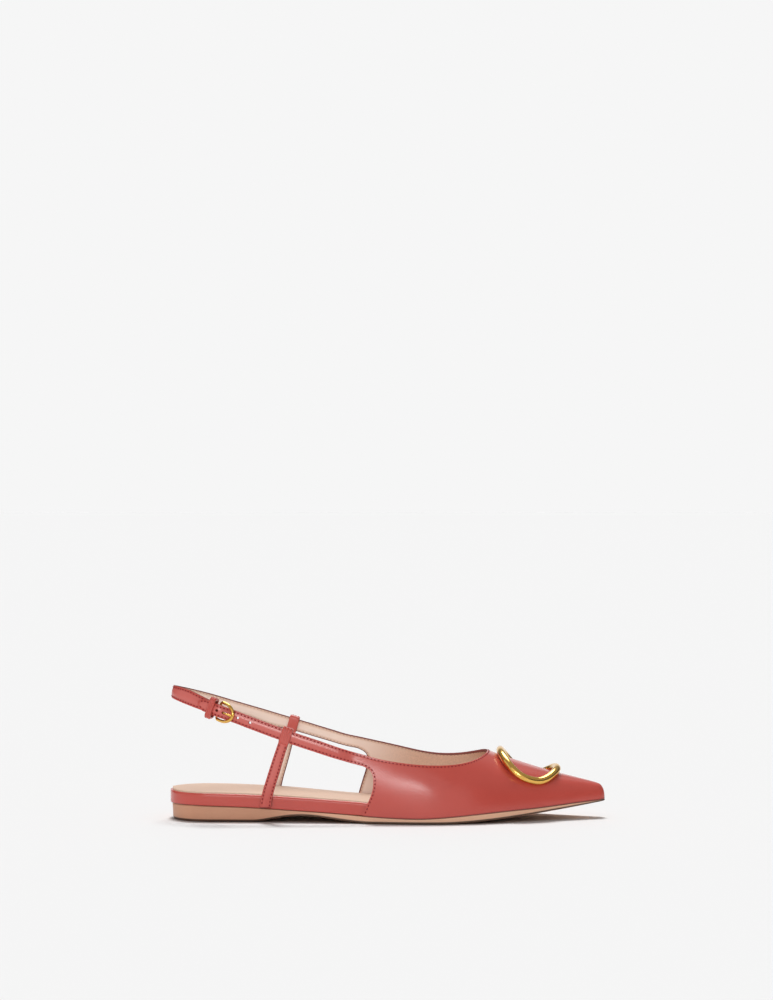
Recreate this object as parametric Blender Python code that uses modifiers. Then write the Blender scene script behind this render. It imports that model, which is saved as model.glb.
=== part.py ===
"""Pointed slingback flat for the right foot, standing empty on its sole.

Toe towards +X, lateral side towards -Y, floor at Z 0, origin at the middle of the heel's tread.
Sizes and tables are in millimetres. A station is the distance forward from the back of the footbed.
"""
import bmesh
import bpy
import numpy as np
from mathutils import Matrix

MM = 0.001
LATERAL, MEDIAL = -1, 1

# Overall sizes
LENGTH = 260.5
HEEL_CENTRE = 26.0
WALL = 1.6
FIT = 0.3

# Sole
HEEL_ROUND = 27.0
HEEL_ROUND_POWER = 2.2
HEEL_TREAD_END = 50.0
BALL_START = 124.0
BALL_END = 162.0
ARCH_RISE = 3.5
ARCH_RISE_POWER = 2.0
ARCH_FALL_POWER = 3.0
TOE_SPRING = 10.4
TOE_SPRING_POWER = 1.6
TREAD_BEVEL = 0.63
TREAD_BEVEL_SHARE = 0.35
HEEL_STEP = 1.1
HEEL_TAPER = 1.6
NARROWEST_WALL = 0.5
NARROWEST_TREAD = 0.45
SOLE_FLARE_START = 104.0
SOLE_FLARE_END = 122.0

# Footbed and insole
RIM_ROUND = 2.2
RIM_ROUND_SHARE = 0.4
BED_INSET = 0.5
BED_INSET_START = 116.0
BED_INSET_END = 126.0
BED_TOE = 254.0
INSOLE_TOE = 250.0
BED_TOE_ROUND = 8.0
INSOLE_INSET = 1.3
INSOLE_EDGE = 0.7
INSOLE_DOME = 0.6
INSOLE_SHARES = (0.25, 0.6, 0.85)
INSOLE_EDGE_IN = 0.36
INSOLE_EDGE_SHARE = 0.036
INSOLE_EDGE_UP = 0.75
INSOLE_NARROWEST = 0.5

# Nose of the upper
NOSE = 4.2
NOSE_POWER = 2.5
THROAT = 190.2
VAMP_REAR = 176.0

# Sling
STRAP_WIDTH = 7.2
STRAP_LEAN = np.radians(10.0)
ROOT_BLEND = 30.0
STRAP_TIP = 19.0
TIP_TAPER = 5.0
TIP_NARROWEST = 0.35
HOLE_RADIUS = 0.8
HOLE_STATIONS = (42.2, 49.5)

# Buckle, in the strap's own axes: forward along the strap, up across it, out from the foot
BAR_STATION = 30.6
BAR_RADIUS = 0.7
BAR_DEPTH = -0.8
FRAME_RADIUS = 0.95
FRAME_REACH = 10.1
FRAME_STRAIGHT = 3.0
FRAME_HALF_HEIGHT = 5.3
FRAME_CORNER = 1.2
FRAME_TILT_RISE = 3.1
PRONG_RADIUS = 0.45
PRONG_TIP = 10.7
PRONG_EYE_START = np.radians(-190.0)
PRONG_EYE_END = np.radians(70.0)
ROLL_RADIUS = 1.85
ROLL_BORE = 1.0
ROLL_LENGTH = 2.1
ROLL_SLOT = 2.6
SLOT_RADIUS = 2.25
BACK_STRAP_END = 1.3
PRONG_SLOT_START = -0.4
PRONG_SLOT_END = 6.4
KEEPER_CENTRE = -4.3
KEEPER_LENGTH = 3.8
KEEPER_WALL = 1.3
KEEPER_CLEARANCE = 0.9
KEEPER_SPARE = 0.2

# Side straps
SIDE_STRAP_THICKNESS = 1.3
SIDE_STRAP_WIDTH = 6.8
SIDE_STRAP_SETTLE = 0.75
SIDE_STRAP_TWIST = 0.5
SLEEVE_LENGTH = 6.1
SLEEVE_WALL = 1.2
SLEEVE_CLEARANCE = 0.45
SLEEVE_CORNER = 0.7
SLEEVE_MARGIN = 0.05

# Ring on the vamp
RING_STATION = 214.0
RING_HALF_LENGTH = 17.0
RING_SIDE = 0.5
RING_HALF_WIDTH = 20.5
RING_NARROWING = 0.7
RING_SQUARENESS = 0.8
RING_RADIUS = 2.4

# Sections across the bottom: half widths of the footbed, sole top (feather line), footbed rim on the
# lateral side and its fall towards the medial side
BOTTOM_COLUMNS = ("station", "lateral", "medial", "feather", "rim", "fall")
BOTTOM_ROWS = (
    (0.0, 25.2, 25.2, 9.6, 17.2, 0.0),
    (15.0, 26.0, 25.8, 9.5, 17.1, 0.0),
    (32.0, 26.8, 26.0, 9.1, 16.9, 0.0),
    (50.0, 27.4, 25.4, 8.4, 16.3, 0.0),
    (70.0, 28.2, 23.8, 7.1, 15.3, 0.0),
    (95.0, 30.4, 20.8, 5.6, 13.7, 0.5),
    (116.0, 33.4, 21.6, 4.2, 12.3, 1.0),
    (135.0, 36.4, 27.4, 3.2, 10.2, 0.7),
    (150.0, 37.8, 32.0, 3.0, 8.6, 0.2),
    (165.0, 37.4, 34.4, 3.8, 8.3, 0.0),
    (180.0, 34.6, 33.4, 5.0, 9.0, 0.0),
    (200.0, 28.0, 28.4, 6.5, 10.2, 0.0),
    (220.0, 19.8, 20.6, 7.7, 11.2, 0.0),
    (241.0, 10.4, 11.2, 9.5, 12.8, 0.0),
    (260.5, 2.0, 2.2, 11.0, 14.2, 0.0),
)

# Sections of the upper: height and sideways place of the ridge, fullness of the arch below it
LAST_COLUMNS = ("station", "ridge", "ridge_side", "fullness")
LAST_ROWS = (
    (95.0, 92.0, 6.0, 2.30),
    (116.0, 78.0, 6.0, 2.30),
    (135.0, 67.0, 5.5, 2.30),
    (150.0, 59.0, 5.0, 2.30),
    (165.0, 51.6, 4.5, 2.30),
    (180.0, 44.6, 4.0, 2.30),
    (190.0, 40.3, 3.5, 2.32),
    (205.0, 34.9, 3.0, 2.35),
    (220.0, 30.2, 2.4, 2.40),
    (237.0, 25.6, 1.5, 2.50),
    (252.0, 21.9, 0.6, 2.60),
    (260.5, 19.4, 0.0, 2.70),
)

# Topline: how far it lies from the ridge (0) towards the feather line (1)
TOPLINE_COLUMNS = ("station", "lateral", "medial")
TOPLINE_ROWS = (
    (THROAT, 0.0, 0.0),
    (188.6, 0.20, 0.17),
    (184.6, 0.36, 0.32),
    (176.0, 0.51, 0.475),
    (160.0, 0.62, 0.588),
    (140.0, 0.68, 0.622),
    (117.0, 0.710, 0.652),
    (112.0, 0.710, 0.660),
)

# Rear edges of the quarters, from the feather line to the sling's lower edge
REAR_COLUMNS = ("station", "height")
REAR_ROWS = {
    LATERAL: ((115.0, 4.5), (118.2, 11.8), (121.0, 19.0), (121.7, 25.4), (120.1, 30.9), (115.2, 33.9)),
    MEDIAL: ((110.2, 4.8), (112.6, 12.5), (115.1, 21.0), (117.5, 29.6), (117.1, 36.0), (111.6, 39.9)),
}
ROOT_STATIONS = {LATERAL: 116.6, MEDIAL: 112.0}

# Upper edge of the sling on its outer face, round the heel from lateral quarter to medial quarter
SLING_COLUMNS = ("station", "side", "top")
SLING_ROWS = (
    (102.0, -31.7, 44.5),
    (90.0, -31.0, 48.5),
    (78.5, -30.0, 52.2),
    (66.0, -28.8, 56.5),
    (54.0, -27.3, 60.8),
    (44.0, -25.8, 64.5),
    (34.0, -23.8, 68.2),
    (24.0, -20.6, 71.8),
    (16.0, -16.6, 74.4),
    (9.5, -12.0, 76.5),
    (4.4, -6.6, 78.2),
    (1.6, 0.0, 79.2),
    (4.4, 6.6, 78.4),
    (9.5, 11.8, 76.9),
    (16.0, 15.8, 75.0),
    (24.0, 19.4, 72.6),
    (35.5, 22.7, 68.9),
    (52.4, 25.0, 63.8),
    (64.5, 25.8, 60.1),
    (76.7, 25.6, 56.5),
    (89.0, 24.4, 52.9),
    (101.0, 22.6, 49.5),
)

# Lift of the outer strap over the buckle's bar and the strap beneath, along the strap from the bar
LIFT_COLUMNS = ("along", "lift")
LIFT_ROWS = (
    (-20.0, 2.0),
    (-6.0, 2.0),
    (-2.4, 2.45),
    (0.0, 3.0),
    (2.0, 2.85),
    (5.0, 1.8),
    (8.0, 0.65),
    (10.5, 0.2),
    (14.0, 0.0),
    (24.0, 0.0),
)

# Middle line of the side straps below their sleeves
SIDE_STRAP_COLUMNS = ("station", "height")
SIDE_STRAP_ROWS = {
    LATERAL: ((65.2, 36.5), (62.3, 27.0), (59.6, 18.0), (57.9, 8.8)),
    MEDIAL: ((67.6, 36.5), (64.9, 27.0), (62.5, 18.0), (61.0, 8.6)),
}
SLEEVE_STATIONS = {LATERAL: 70.7, MEDIAL: 73.2}

# Mesh fineness
WELD = 1e-6
HALF_STEP = 0.5
CURVE_SAMPLES = 4001
TOPLINE_SAMPLES = 200
BOTTOM_STEPS = 40
HEEL_STEPS = 9
HEEL_FIRST = 0.04
TOE_STEPS = 6
TOE_LAST = 0.12
RIM_STEPS = 4
SIDE_COLUMNS = 9
REAR_EDGE_COLUMNS = 6
CROWN_COLUMNS = 12
QUARTER_ROWS = 8
LATERAL_ARM_ROWS = 44
MEDIAL_ARM_ROWS = 56
NOSE_ROWS = (0.0, 0.08, 0.3, 0.8, 1.6, 2.8, 4.2, 7.5, 12.0, 18.0, 25.0, 32.0, 39.0, 46.0, 53.0, 60.0, 65.5)
SIDE_STRAP_STEPS = 13
SLEEVE_CORNER_STEPS = 4
ROUND_SEGMENTS = 24
HOLE_SEGMENTS = 16
SLOT_STEPS = 7
FRAME_STEPS = 17
PRONG_STEPS = 14
RING_STEPS = 44
SLOPE_STEP = 0.01

# Colours
CORAL = (0.50, 0.085, 0.068, 1.0)
NUDE = (0.78, 0.56, 0.43, 1.0)
TAN = (0.52, 0.25, 0.15, 1.0)
GOLD = (0.83, 0.58, 0.22, 1.0)


def table(columns, rows):
    """Columns of a table by name."""
    return dict(zip(columns, np.array(rows, float).T))


def spline(knots, values, places):
    """Natural cubic curve through the values at the knots, read at the places."""
    gaps = np.diff(knots)
    slopes = np.diff(values) / gaps
    count = len(knots)
    system = np.eye(count)
    bend = np.zeros(count)
    for i in range(1, count - 1):
        system[i, i - 1:i + 2] = gaps[i - 1], 2 * (gaps[i - 1] + gaps[i]), gaps[i]
        bend[i] = 6 * (slopes[i] - slopes[i - 1])
    second = np.linalg.solve(system, bend)
    places = np.asarray(places, float)
    k = np.clip(np.searchsorted(knots, places) - 1, 0, count - 2)
    before = places - knots[k]
    after = knots[k + 1] - places
    curve = (second[k] * after**3 + second[k + 1] * before**3) / (6 * gaps[k])
    start = (values[k] / gaps[k] - second[k] * gaps[k] / 6) * after
    end = (values[k + 1] / gaps[k] - second[k + 1] * gaps[k] / 6) * before
    return curve + start + end


def path(points, places):
    """Smooth curve through points in space, read at shares 0 to 1 of its chord length."""
    chord = np.concatenate([[0], np.cumsum(np.linalg.norm(np.diff(points, axis=0), axis=1))])
    chord /= chord[-1]
    return np.stack([spline(chord, axis, places) for axis in points.T], -1)


def ease(start, end, value):
    """Smooth step from 0 at start to 1 at end."""
    share = np.clip((value - start) / (end - start), 0, 1)
    return share * share * (3 - 2 * share)


def unit(vector):
    return vector / np.linalg.norm(vector, axis=-1, keepdims=True)


BOTTOM = table(BOTTOM_COLUMNS, BOTTOM_ROWS)
LAST = table(LAST_COLUMNS, LAST_ROWS)
TOPLINE = table(TOPLINE_COLUMNS, TOPLINE_ROWS)
LIFT = table(LIFT_COLUMNS, LIFT_ROWS)


def bottom(column, station):
    return spline(BOTTOM["station"], BOTTOM[column], station)


def last(column, station):
    return spline(LAST["station"], LAST[column], station)


def blunt(station, end, length, power):
    """Rounding of an outline from 1 to 0 over the length before its end."""
    share = np.clip((station - end + length) / length, 0, 1)
    return (1 - share**power)**(1 / power)


def half_width(station, side):
    """Half width of the footbed on one side, rounded at the heel."""
    width = np.where(side < 0, bottom("lateral", station), bottom("medial", station))
    return width * blunt(-station, 0.0, HEEL_ROUND, HEEL_ROUND_POWER)


def rim(station, side, share):
    """Height of the footbed's top at a share of the half width on one side, tilted by its fall."""
    return bottom("rim", station) - bottom("fall", station) * (1 + side * share) / 2


def tread(station):
    """Height of the sole's underside: flat heel, arch, flat ball, toe spring."""
    share = np.clip((station - HEEL_TREAD_END) / (BALL_START - HEEL_TREAD_END), 0, 1)
    peak = ARCH_RISE_POWER / (ARCH_RISE_POWER + ARCH_FALL_POWER)
    shape = share**ARCH_RISE_POWER * (1 - share)**ARCH_FALL_POWER
    arch = ARCH_RISE * shape / (peak**ARCH_RISE_POWER * (1 - peak)**ARCH_FALL_POWER)
    spring = np.clip((station - BALL_END) / (LENGTH - BALL_END), 0, 1)
    return arch + TOE_SPRING * spring**TOE_SPRING_POWER


def skin(station, turn):
    """Outer face of the upper: turn -1 at the lateral feather line, 0 at the ridge, 1 at the medial one.

    Each section is a superellipse arch standing on the feather line; the nose rounds it to a point.
    """
    side = np.where(turn < 0, LATERAL, MEDIAL)
    angle = (1 - np.abs(turn)) * np.pi / 2
    power = 2 / last("fullness", station)
    rounding = blunt(station, LENGTH, NOSE, NOSE_POWER)
    middle = last("ridge_side", station)
    reach = half_width(station, side) + WALL + FIT - side * middle
    low = bottom("feather", station) + FIT
    across = (middle + side * reach * np.cos(angle)**power) * rounding
    height = low + (last("ridge", station) - low) * rounding * np.sin(angle)**power
    return np.stack(np.broadcast_arrays(station, across, height), -1)


def turn_at_height(station, height, side):
    """Turn at which the upper's section reaches a height."""
    low = bottom("feather", station) + FIT
    share = np.clip((height - low) / (last("ridge", station) - low), 0, 1)
    return side * (1 - np.arcsin(share**(last("fullness", station) / 2)) * 2 / np.pi)


def turn_across(station, across):
    """Turn at which the upper's section lies at a sideways place."""
    middle = last("ridge_side", station)
    side = np.where(across < middle, LATERAL, MEDIAL)
    reach = half_width(station, side) + WALL + FIT - side * middle
    share = np.clip(np.abs(across - middle) / reach, 0, 1)
    return side * (1 - np.arccos(share**(last("fullness", station) / 2)) * 2 / np.pi)


def topline_turn(station, side):
    """Turn of the topline, read along the root of the distance behind the throat."""
    reach = THROAT - TOPLINE["station"][-1]
    knots = np.sqrt((THROAT - TOPLINE["station"]) / reach)
    column = TOPLINE["lateral"] if side < 0 else TOPLINE["medial"]
    return side * spline(knots, column, np.sqrt(np.clip((THROAT - station) / reach, 0, 1)))


def coons(front, rear, low, high):
    """Patch between four edges: front and rear run upwards, low and high run backwards."""
    back = np.linspace(0, 1, len(low))[:, None, None]
    up = np.linspace(0, 1, len(front))[None, :, None]
    sides = (1 - back) * front[None] + back * rear[None]
    ends = (1 - up) * low[:, None] + up * high[:, None]
    corners = ((1 - back) * ((1 - up) * front[0] + up * front[-1])
               + back * ((1 - up) * rear[0] + up * rear[-1]))
    return sides + ends - corners


def quarter(side):
    """Grid of one quarter on the skin, from the vamp back to its rear edge and the sling's root."""
    front_turn = np.linspace(side, topline_turn(VAMP_REAR, side), SIDE_COLUMNS + 1)
    front = np.stack([np.full_like(front_turn, VAMP_REAR), front_turn], -1)
    rows = table(REAR_COLUMNS, REAR_ROWS[side])
    line = np.column_stack([rows["station"], rows["height"]])
    edge = path(line, np.linspace(0, 1, REAR_EDGE_COLUMNS + 1))
    edge = np.stack([edge[:, 0], turn_at_height(edge[:, 0], edge[:, 1], side)], -1)
    edge[0, 1] = side
    root = np.array([ROOT_STATIONS[side], topline_turn(ROOT_STATIONS[side], side)])
    share = np.linspace(0, 1, SIDE_COLUMNS - REAR_EDGE_COLUMNS + 1)[1:, None]
    rear = np.concatenate([edge, edge[-1] + (root - edge[-1]) * share])
    back = np.linspace(0, 1, QUARTER_ROWS + 1)
    low_station = VAMP_REAR + (rear[0, 0] - VAMP_REAR) * back
    low = np.stack([low_station, np.full_like(low_station, side)], -1)
    high_station = VAMP_REAR + (root[0] - VAMP_REAR) * back
    high = np.stack([high_station, topline_turn(high_station, side)], -1)
    patch = coons(front, rear, low, high)
    return skin(patch[..., 0], patch[..., 1])


def vamp():
    """Grid of the vamp from the nose back to the throat and the fronts of the quarters."""
    ends = {side: topline_turn(VAMP_REAR, side) for side in (LATERAL, MEDIAL)}
    lateral = np.linspace(LATERAL, ends[LATERAL], SIDE_COLUMNS + 1)
    crown = np.linspace(ends[LATERAL], ends[MEDIAL], CROWN_COLUMNS + 1)[1:-1]
    medial = np.linspace(ends[MEDIAL], MEDIAL, SIDE_COLUMNS + 1)
    turns = np.concatenate([lateral, crown, medial])
    backward = np.linspace(VAMP_REAR, THROAT, TOPLINE_SAMPLES)
    rear = np.full_like(turns, VAMP_REAR)
    for side in (LATERAL, MEDIAL):
        curve = np.abs(topline_turn(backward, side))[::-1]
        inside = (np.sign(turns) == side) & (np.abs(turns) < abs(ends[side]))
        rear[inside] = np.interp(np.abs(turns[inside]), curve, backward[::-1])
    rear[turns == 0] = THROAT
    shares = np.append(np.array(NOSE_ROWS) / (LENGTH - THROAT), 1.0)
    stations = LENGTH - (LENGTH - rear)[None, :] * shares[:, None]
    return skin(stations, np.broadcast_to(turns, stations.shape))


def sling_points(quarters):
    """Knots of the sling's upper edge, with the ends taken from the quarters."""
    ends = [quarters[side][-1, -1] for side in (LATERAL, MEDIAL)]
    rows = table(SLING_COLUMNS, SLING_ROWS)
    between = np.column_stack([rows["station"], rows["side"], rows["top"]])
    return np.concatenate([ends[:1], between, ends[1:]])


class Sling:
    """Strap round the heel: its upper edge, its cross direction and its own axes at a place."""

    def __init__(self):
        self.quarters = {side: quarter(side) for side in (LATERAL, MEDIAL)}
        self.knots = sling_points(self.quarters)
        self.curve = path(self.knots, np.linspace(0, 1, CURVE_SAMPLES))
        steps = np.linalg.norm(np.diff(self.curve, axis=0), axis=1)
        self.length = np.concatenate([[0], np.cumsum(steps)])

    def at_station(self, station, side):
        """Distance along the sling, from its lateral root, at a station on one side."""
        back = np.argmin(self.curve[:, 0])
        if side < 0:
            return np.interp(-station, -self.curve[:back, 0], self.length[:back])
        return np.interp(station, self.curve[back:, 0], self.length[back:])

    def top(self, distance):
        return np.stack([np.interp(distance, self.length, axis) for axis in self.curve.T], -1)

    def cross(self, distance):
        """From the lower to the upper edge: along the quarter at the roots, leaning evenly between them."""
        even = STRAP_WIDTH * np.array([np.sin(STRAP_LEAN), 0, np.cos(STRAP_LEAN)])
        first, second = (self.quarters[side][-1] for side in (LATERAL, MEDIAL))
        near = 1 - ease(0, ROOT_BLEND, distance)[..., None]
        far = ease(self.length[-1] - ROOT_BLEND, self.length[-1], distance)[..., None]
        lateral = first[-1] - first[REAR_EDGE_COLUMNS]
        medial = second[-1] - second[REAR_EDGE_COLUMNS]
        return even + near * (lateral - even) + far * (medial - even)

    def axes(self, distance):
        """Middle of the outer face and the axes along (towards lateral root), up and out."""
        along = unit(self.top(distance - HALF_STEP) - self.top(distance + HALF_STEP))
        cross = self.cross(distance)
        up = unit(cross - np.sum(cross * along, -1, keepdims=True) * along)
        out = np.cross(along, up)
        return self.top(distance) - cross / 2, along, up, out

    def band(self, distance, narrowing, lift, first_row):
        """Grid of strap from its root: rows along the sling, columns from lower to upper edge."""
        share = np.linspace(0, 1, first_row.shape[0])[None, :, None]
        middle, _, _, out = self.axes(distance)
        middle = middle + lift[:, None] * out
        cross = self.cross(distance) * narrowing[:, None]
        rows = middle[:, None] + (share - 0.5) * cross[:, None]
        rows[0] = first_row
        return rows


SLING = Sling()
BAR_PLACE = SLING.at_station(BAR_STATION, LATERAL)


def place_matrix(distance, origin_shift):
    """Matrix with the strap's own axes at a place on the sling, moved along them by a shift."""
    middle, along, up, out = SLING.axes(np.float64(distance))
    origin = middle + origin_shift[0] * along + origin_shift[1] * up + origin_shift[2] * out
    origin = (origin - np.array([HEEL_CENTRE, 0, 0])) * MM
    matrix = Matrix.Identity(4)
    for column, axis in enumerate((along, up, out, origin)):
        for row in range(3):
            matrix[row][column] = float(axis[row])
    return matrix


def clear_scene():
    for item in list(bpy.data.objects):
        bpy.data.objects.remove(item, do_unlink=True)
    for group in list(bpy.data.collections):
        bpy.data.collections.remove(group)


def collection(name):
    group = bpy.data.collections.new(name)
    bpy.context.scene.collection.children.link(group)
    return group


def surface(name, colour, roughness, metallic):
    material = bpy.data.materials.new(name)
    material.use_nodes = True
    shader = material.node_tree.nodes["Principled BSDF"]
    shader.inputs["Base Color"].default_value = colour
    shader.inputs["Roughness"].default_value = roughness
    shader.inputs["Metallic"].default_value = metallic
    return material


def finish_mesh(mesh, name, group, material):
    item = bpy.data.objects.new(name, mesh)
    group.objects.link(item)
    if material:
        item.data.materials.append(material)
    return item


def grids_object(name, grids, group, material, closed=False):
    """Object from grids of points in millimetres on stations, welded along their shared edges."""
    made = bmesh.new()
    for points in grids:
        places = (points - np.array([HEEL_CENTRE, 0, 0])) * MM
        rows = [[made.verts.new(place) for place in row] for row in places]
        for first, second in zip(rows[:-1], rows[1:]):
            count = len(first)
            for j in range(count if closed else count - 1):
                k = (j + 1) % count
                made.faces.new((first[j], first[k], second[k], second[j]))
        if closed:
            made.faces.new(rows[0][::-1])
            made.faces.new(rows[-1])
    bmesh.ops.remove_doubles(made, verts=made.verts, dist=WELD)
    bmesh.ops.recalc_face_normals(made, faces=made.faces)
    mesh = bpy.data.meshes.new(name)
    made.to_mesh(mesh)
    made.free()
    return finish_mesh(mesh, name, group, material)


def solidify(item, thickness, offset):
    shell = item.modifiers.new("Thickness", "SOLIDIFY")
    shell.thickness = thickness * MM
    shell.offset = offset
    shell.use_even_offset = True


def boolean(item, tool, operation):
    cut = item.modifiers.new(operation.title(), "BOOLEAN")
    cut.object = tool
    cut.operation = operation
    cut.solver = "EXACT"


def as_tool(item):
    item.hide_render = True
    item.display_type = "WIRE"


def cylinder(name, radius, length, group, segments):
    """Closed cylinder along its own Z, in millimetres."""
    made = bmesh.new()
    bmesh.ops.create_cone(made, cap_ends=True, segments=segments, radius1=radius * MM,
                          radius2=radius * MM, depth=length * MM)
    mesh = bpy.data.meshes.new(name)
    made.to_mesh(mesh)
    made.free()
    return finish_mesh(mesh, name, group, None)


def rod(name, points, radii, depth, cyclic, group, material):
    """Round rod along points in millimetres, as a mesh; the radii are shares of the depth."""
    curve = bpy.data.curves.new(name + "_line", "CURVE")
    curve.dimensions = "3D"
    curve.bevel_depth = depth * MM
    curve.bevel_resolution = 2
    curve.use_fill_caps = not cyclic
    line = curve.splines.new("POLY")
    line.points.add(len(points) - 1)
    for point, place, radius in zip(line.points, points, radii):
        point.co = (*(float(value) * MM for value in place), 1.0)
        point.radius = float(radius)
    line.use_cyclic_u = cyclic
    holder = bpy.data.objects.new(name + "_line", curve)
    mesh = bpy.data.meshes.new_from_object(holder)
    bpy.data.objects.remove(holder)
    made = bmesh.new()
    made.from_mesh(mesh)
    bmesh.ops.remove_doubles(made, verts=made.verts, dist=WELD)
    bmesh.ops.recalc_face_normals(made, faces=made.faces)
    made.to_mesh(mesh)
    made.free()
    mesh.name = name
    mesh.materials.clear()
    return finish_mesh(mesh, name, group, material)


def sleeve(name, height, depth, length, wall, group, material):
    """Leather loop in the strap's axes: an oblong band around height and depth, closed by its thickness."""
    turns = np.linspace(0, np.pi / 2, SLEEVE_CORNER_STEPS)
    bend = SLEEVE_CORNER * np.stack([np.cos(turns), np.sin(turns)], -1)
    straight = np.array([depth / 2 - SLEEVE_CORNER, height / 2 - SLEEVE_CORNER])
    right = bend + straight
    left = right[::-1] * np.array([-1, 1])
    outline = np.concatenate([right, left, -right, -left])
    made = bmesh.new()
    rings = []
    for end in (-length / 2, length / 2):
        rings.append([made.verts.new((end * MM, up * MM, out * MM)) for out, up in outline])
    count = len(outline)
    for j in range(count):
        k = (j + 1) % count
        made.faces.new((rings[0][j], rings[0][k], rings[1][k], rings[1][j]))
    bmesh.ops.recalc_face_normals(made, faces=made.faces)
    mesh = bpy.data.meshes.new(name)
    made.to_mesh(mesh)
    made.free()
    item = finish_mesh(mesh, name, group, material)
    solidify(item, wall, 1.0)
    return item


def bottom_stations(end, finest):
    """Stations from heel to toe, closer together where the outline rounds."""
    heel = HEEL_ROUND * (1 - np.cos(np.linspace(HEEL_FIRST, np.pi / 2, HEEL_STEPS)))
    run = np.linspace(HEEL_ROUND, end - finest, BOTTOM_STEPS)[1:]
    toe = end - finest * (1 - np.sin(np.linspace(0.0, np.pi / 2 - TOE_LAST, TOE_STEPS)))[1:]
    return np.concatenate([heel, run, toe])


def ring_rows(stations, profile):
    """Closed sections: the profile gives, per side, station shift, half width and height from the top down."""
    sides = [profile(stations, side) for side in (MEDIAL, LATERAL)]
    right = [np.stack([stations + shift, side_width, height], -1) for shift, side_width, height in sides[0]]
    left = [np.stack([stations + shift, -side_width, height], -1) for shift, side_width, height in sides[1]]
    return np.stack(right + left[::-1], 1)


def outsole_profile(stations, side):
    """Sole section: top edge at the feather line, heel set back and tapering down, bevelled tread edge."""
    flare = (WALL + FIT) * ease(SOLE_FLARE_START, SOLE_FLARE_END, stations)
    width = (half_width(stations, side) + flare) * blunt(stations, LENGTH, NOSE, NOSE_POWER)
    high = bottom("feather", stations)
    low = tread(stations)
    heel = 1 - ease(HEEL_TREAD_END, SOLE_FLARE_START, stations)
    back = np.clip(1 - stations / HEEL_ROUND, 0, 1)
    step = HEEL_STEP * heel
    taper = HEEL_TAPER * heel
    edge = np.minimum(TREAD_BEVEL, TREAD_BEVEL_SHARE * (high - low))
    front = blunt(stations, LENGTH, NOSE, NOSE_POWER)
    top = np.maximum(width - step * (1 - back), width * NARROWEST_WALL)
    wall = np.maximum(width - taper * (1 - back), width * NARROWEST_WALL)
    floor = np.maximum(width - (taper + edge) * (1 - back) * front, width * NARROWEST_TREAD)
    return ((step * back, top, high),
            (taper * back, wall, low + edge),
            ((taper + edge) * back, floor, low))


def footbed_profile(stations, side):
    """Footbed section: upright wrapped rim with a rounded lip, flat under the insole."""
    inset = BED_INSET * ease(BED_INSET_START, BED_INSET_END, stations)
    width = (half_width(stations, side) - inset) * blunt(stations, BED_TOE, BED_TOE_ROUND, NOSE_POWER)
    high = rim(stations, side, 1.0)
    low = bottom("feather", stations) + FIT
    lip = np.minimum(RIM_ROUND, width * RIM_ROUND_SHARE)
    rows = []
    for turn in np.linspace(np.pi / 2, 0, RIM_STEPS):
        rows.append((0 * stations, width - lip * (1 - np.cos(turn)), high - RIM_ROUND * (1 - np.sin(turn))))
    rows.append((0 * stations, width, low))
    return rows


def insole_profile(stations, side):
    """Insole section: padded and gently domed towards the heel, with a rounded edge."""
    outline = half_width(stations, side) * blunt(stations, INSOLE_TOE, BED_TOE_ROUND, NOSE_POWER)
    back = np.clip(1 - stations / HEEL_ROUND, 0, 1)
    inset = INSOLE_INSET + BED_INSET * ease(BED_INSET_START, BED_INSET_END, stations)
    width = np.maximum(outline - inset * (1 - back), outline * INSOLE_NARROWEST)
    dome = INSOLE_DOME * (1 - ease(BALL_START, BALL_END, stations))
    rows = []
    for share in INSOLE_SHARES:
        lifted = rim(stations, side, share) + FIT + INSOLE_EDGE + dome * (1 - share**2)
        rows.append((inset * back, width * share, lifted))
    low = rim(stations, side, 1.0) + FIT
    edge = np.minimum(INSOLE_EDGE_IN, width * INSOLE_EDGE_SHARE)
    rows.append((inset * back, width - edge, low + INSOLE_EDGE * INSOLE_EDGE_UP))
    rows.append((inset * back, width, low))
    return rows


def build_bottom(group, materials):
    for name, end, finest, profile, material in (
            ("outsole", LENGTH, NOSE, outsole_profile, "tan"),
            ("footbed", BED_TOE, BED_TOE_ROUND, footbed_profile, "coral"),
            ("insole", INSOLE_TOE, BED_TOE_ROUND, insole_profile, "nude")):
        rows = ring_rows(bottom_stations(end, finest), profile)
        grids_object(name, [rows], group, materials[material], closed=True)


def arm_rows():
    """Grids of the two sling arms, each from its quarter to its free end."""
    tip = SLING.at_station(STRAP_TIP, LATERAL)
    out_run = np.linspace(0, tip, LATERAL_ARM_ROWS)
    narrowing = 1 - (1 - TIP_NARROWEST) * np.clip((out_run - tip + TIP_TAPER) / TIP_TAPER, 0, 1)**2
    along = np.clip(BAR_PLACE - out_run, LIFT["along"][0], LIFT["along"][-1])
    lift = spline(LIFT["along"], LIFT["lift"], along)
    lateral_root = SLING.quarters[LATERAL][-1, REAR_EDGE_COLUMNS:]
    lateral = SLING.band(out_run, narrowing, lift, lateral_root)
    inner_run = np.linspace(SLING.length[-1], BAR_PLACE + BACK_STRAP_END, MEDIAL_ARM_ROWS)
    medial_root = SLING.quarters[MEDIAL][-1, REAR_EDGE_COLUMNS:]
    medial = SLING.band(inner_run, np.ones(MEDIAL_ARM_ROWS), np.zeros(MEDIAL_ARM_ROWS), medial_root)
    return lateral, medial


def upright(matrix):
    """Turns a cylinder's axis from the strap's out direction to its up direction."""
    return matrix @ Matrix.Rotation(np.pi / 2, 4, "X")


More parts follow.
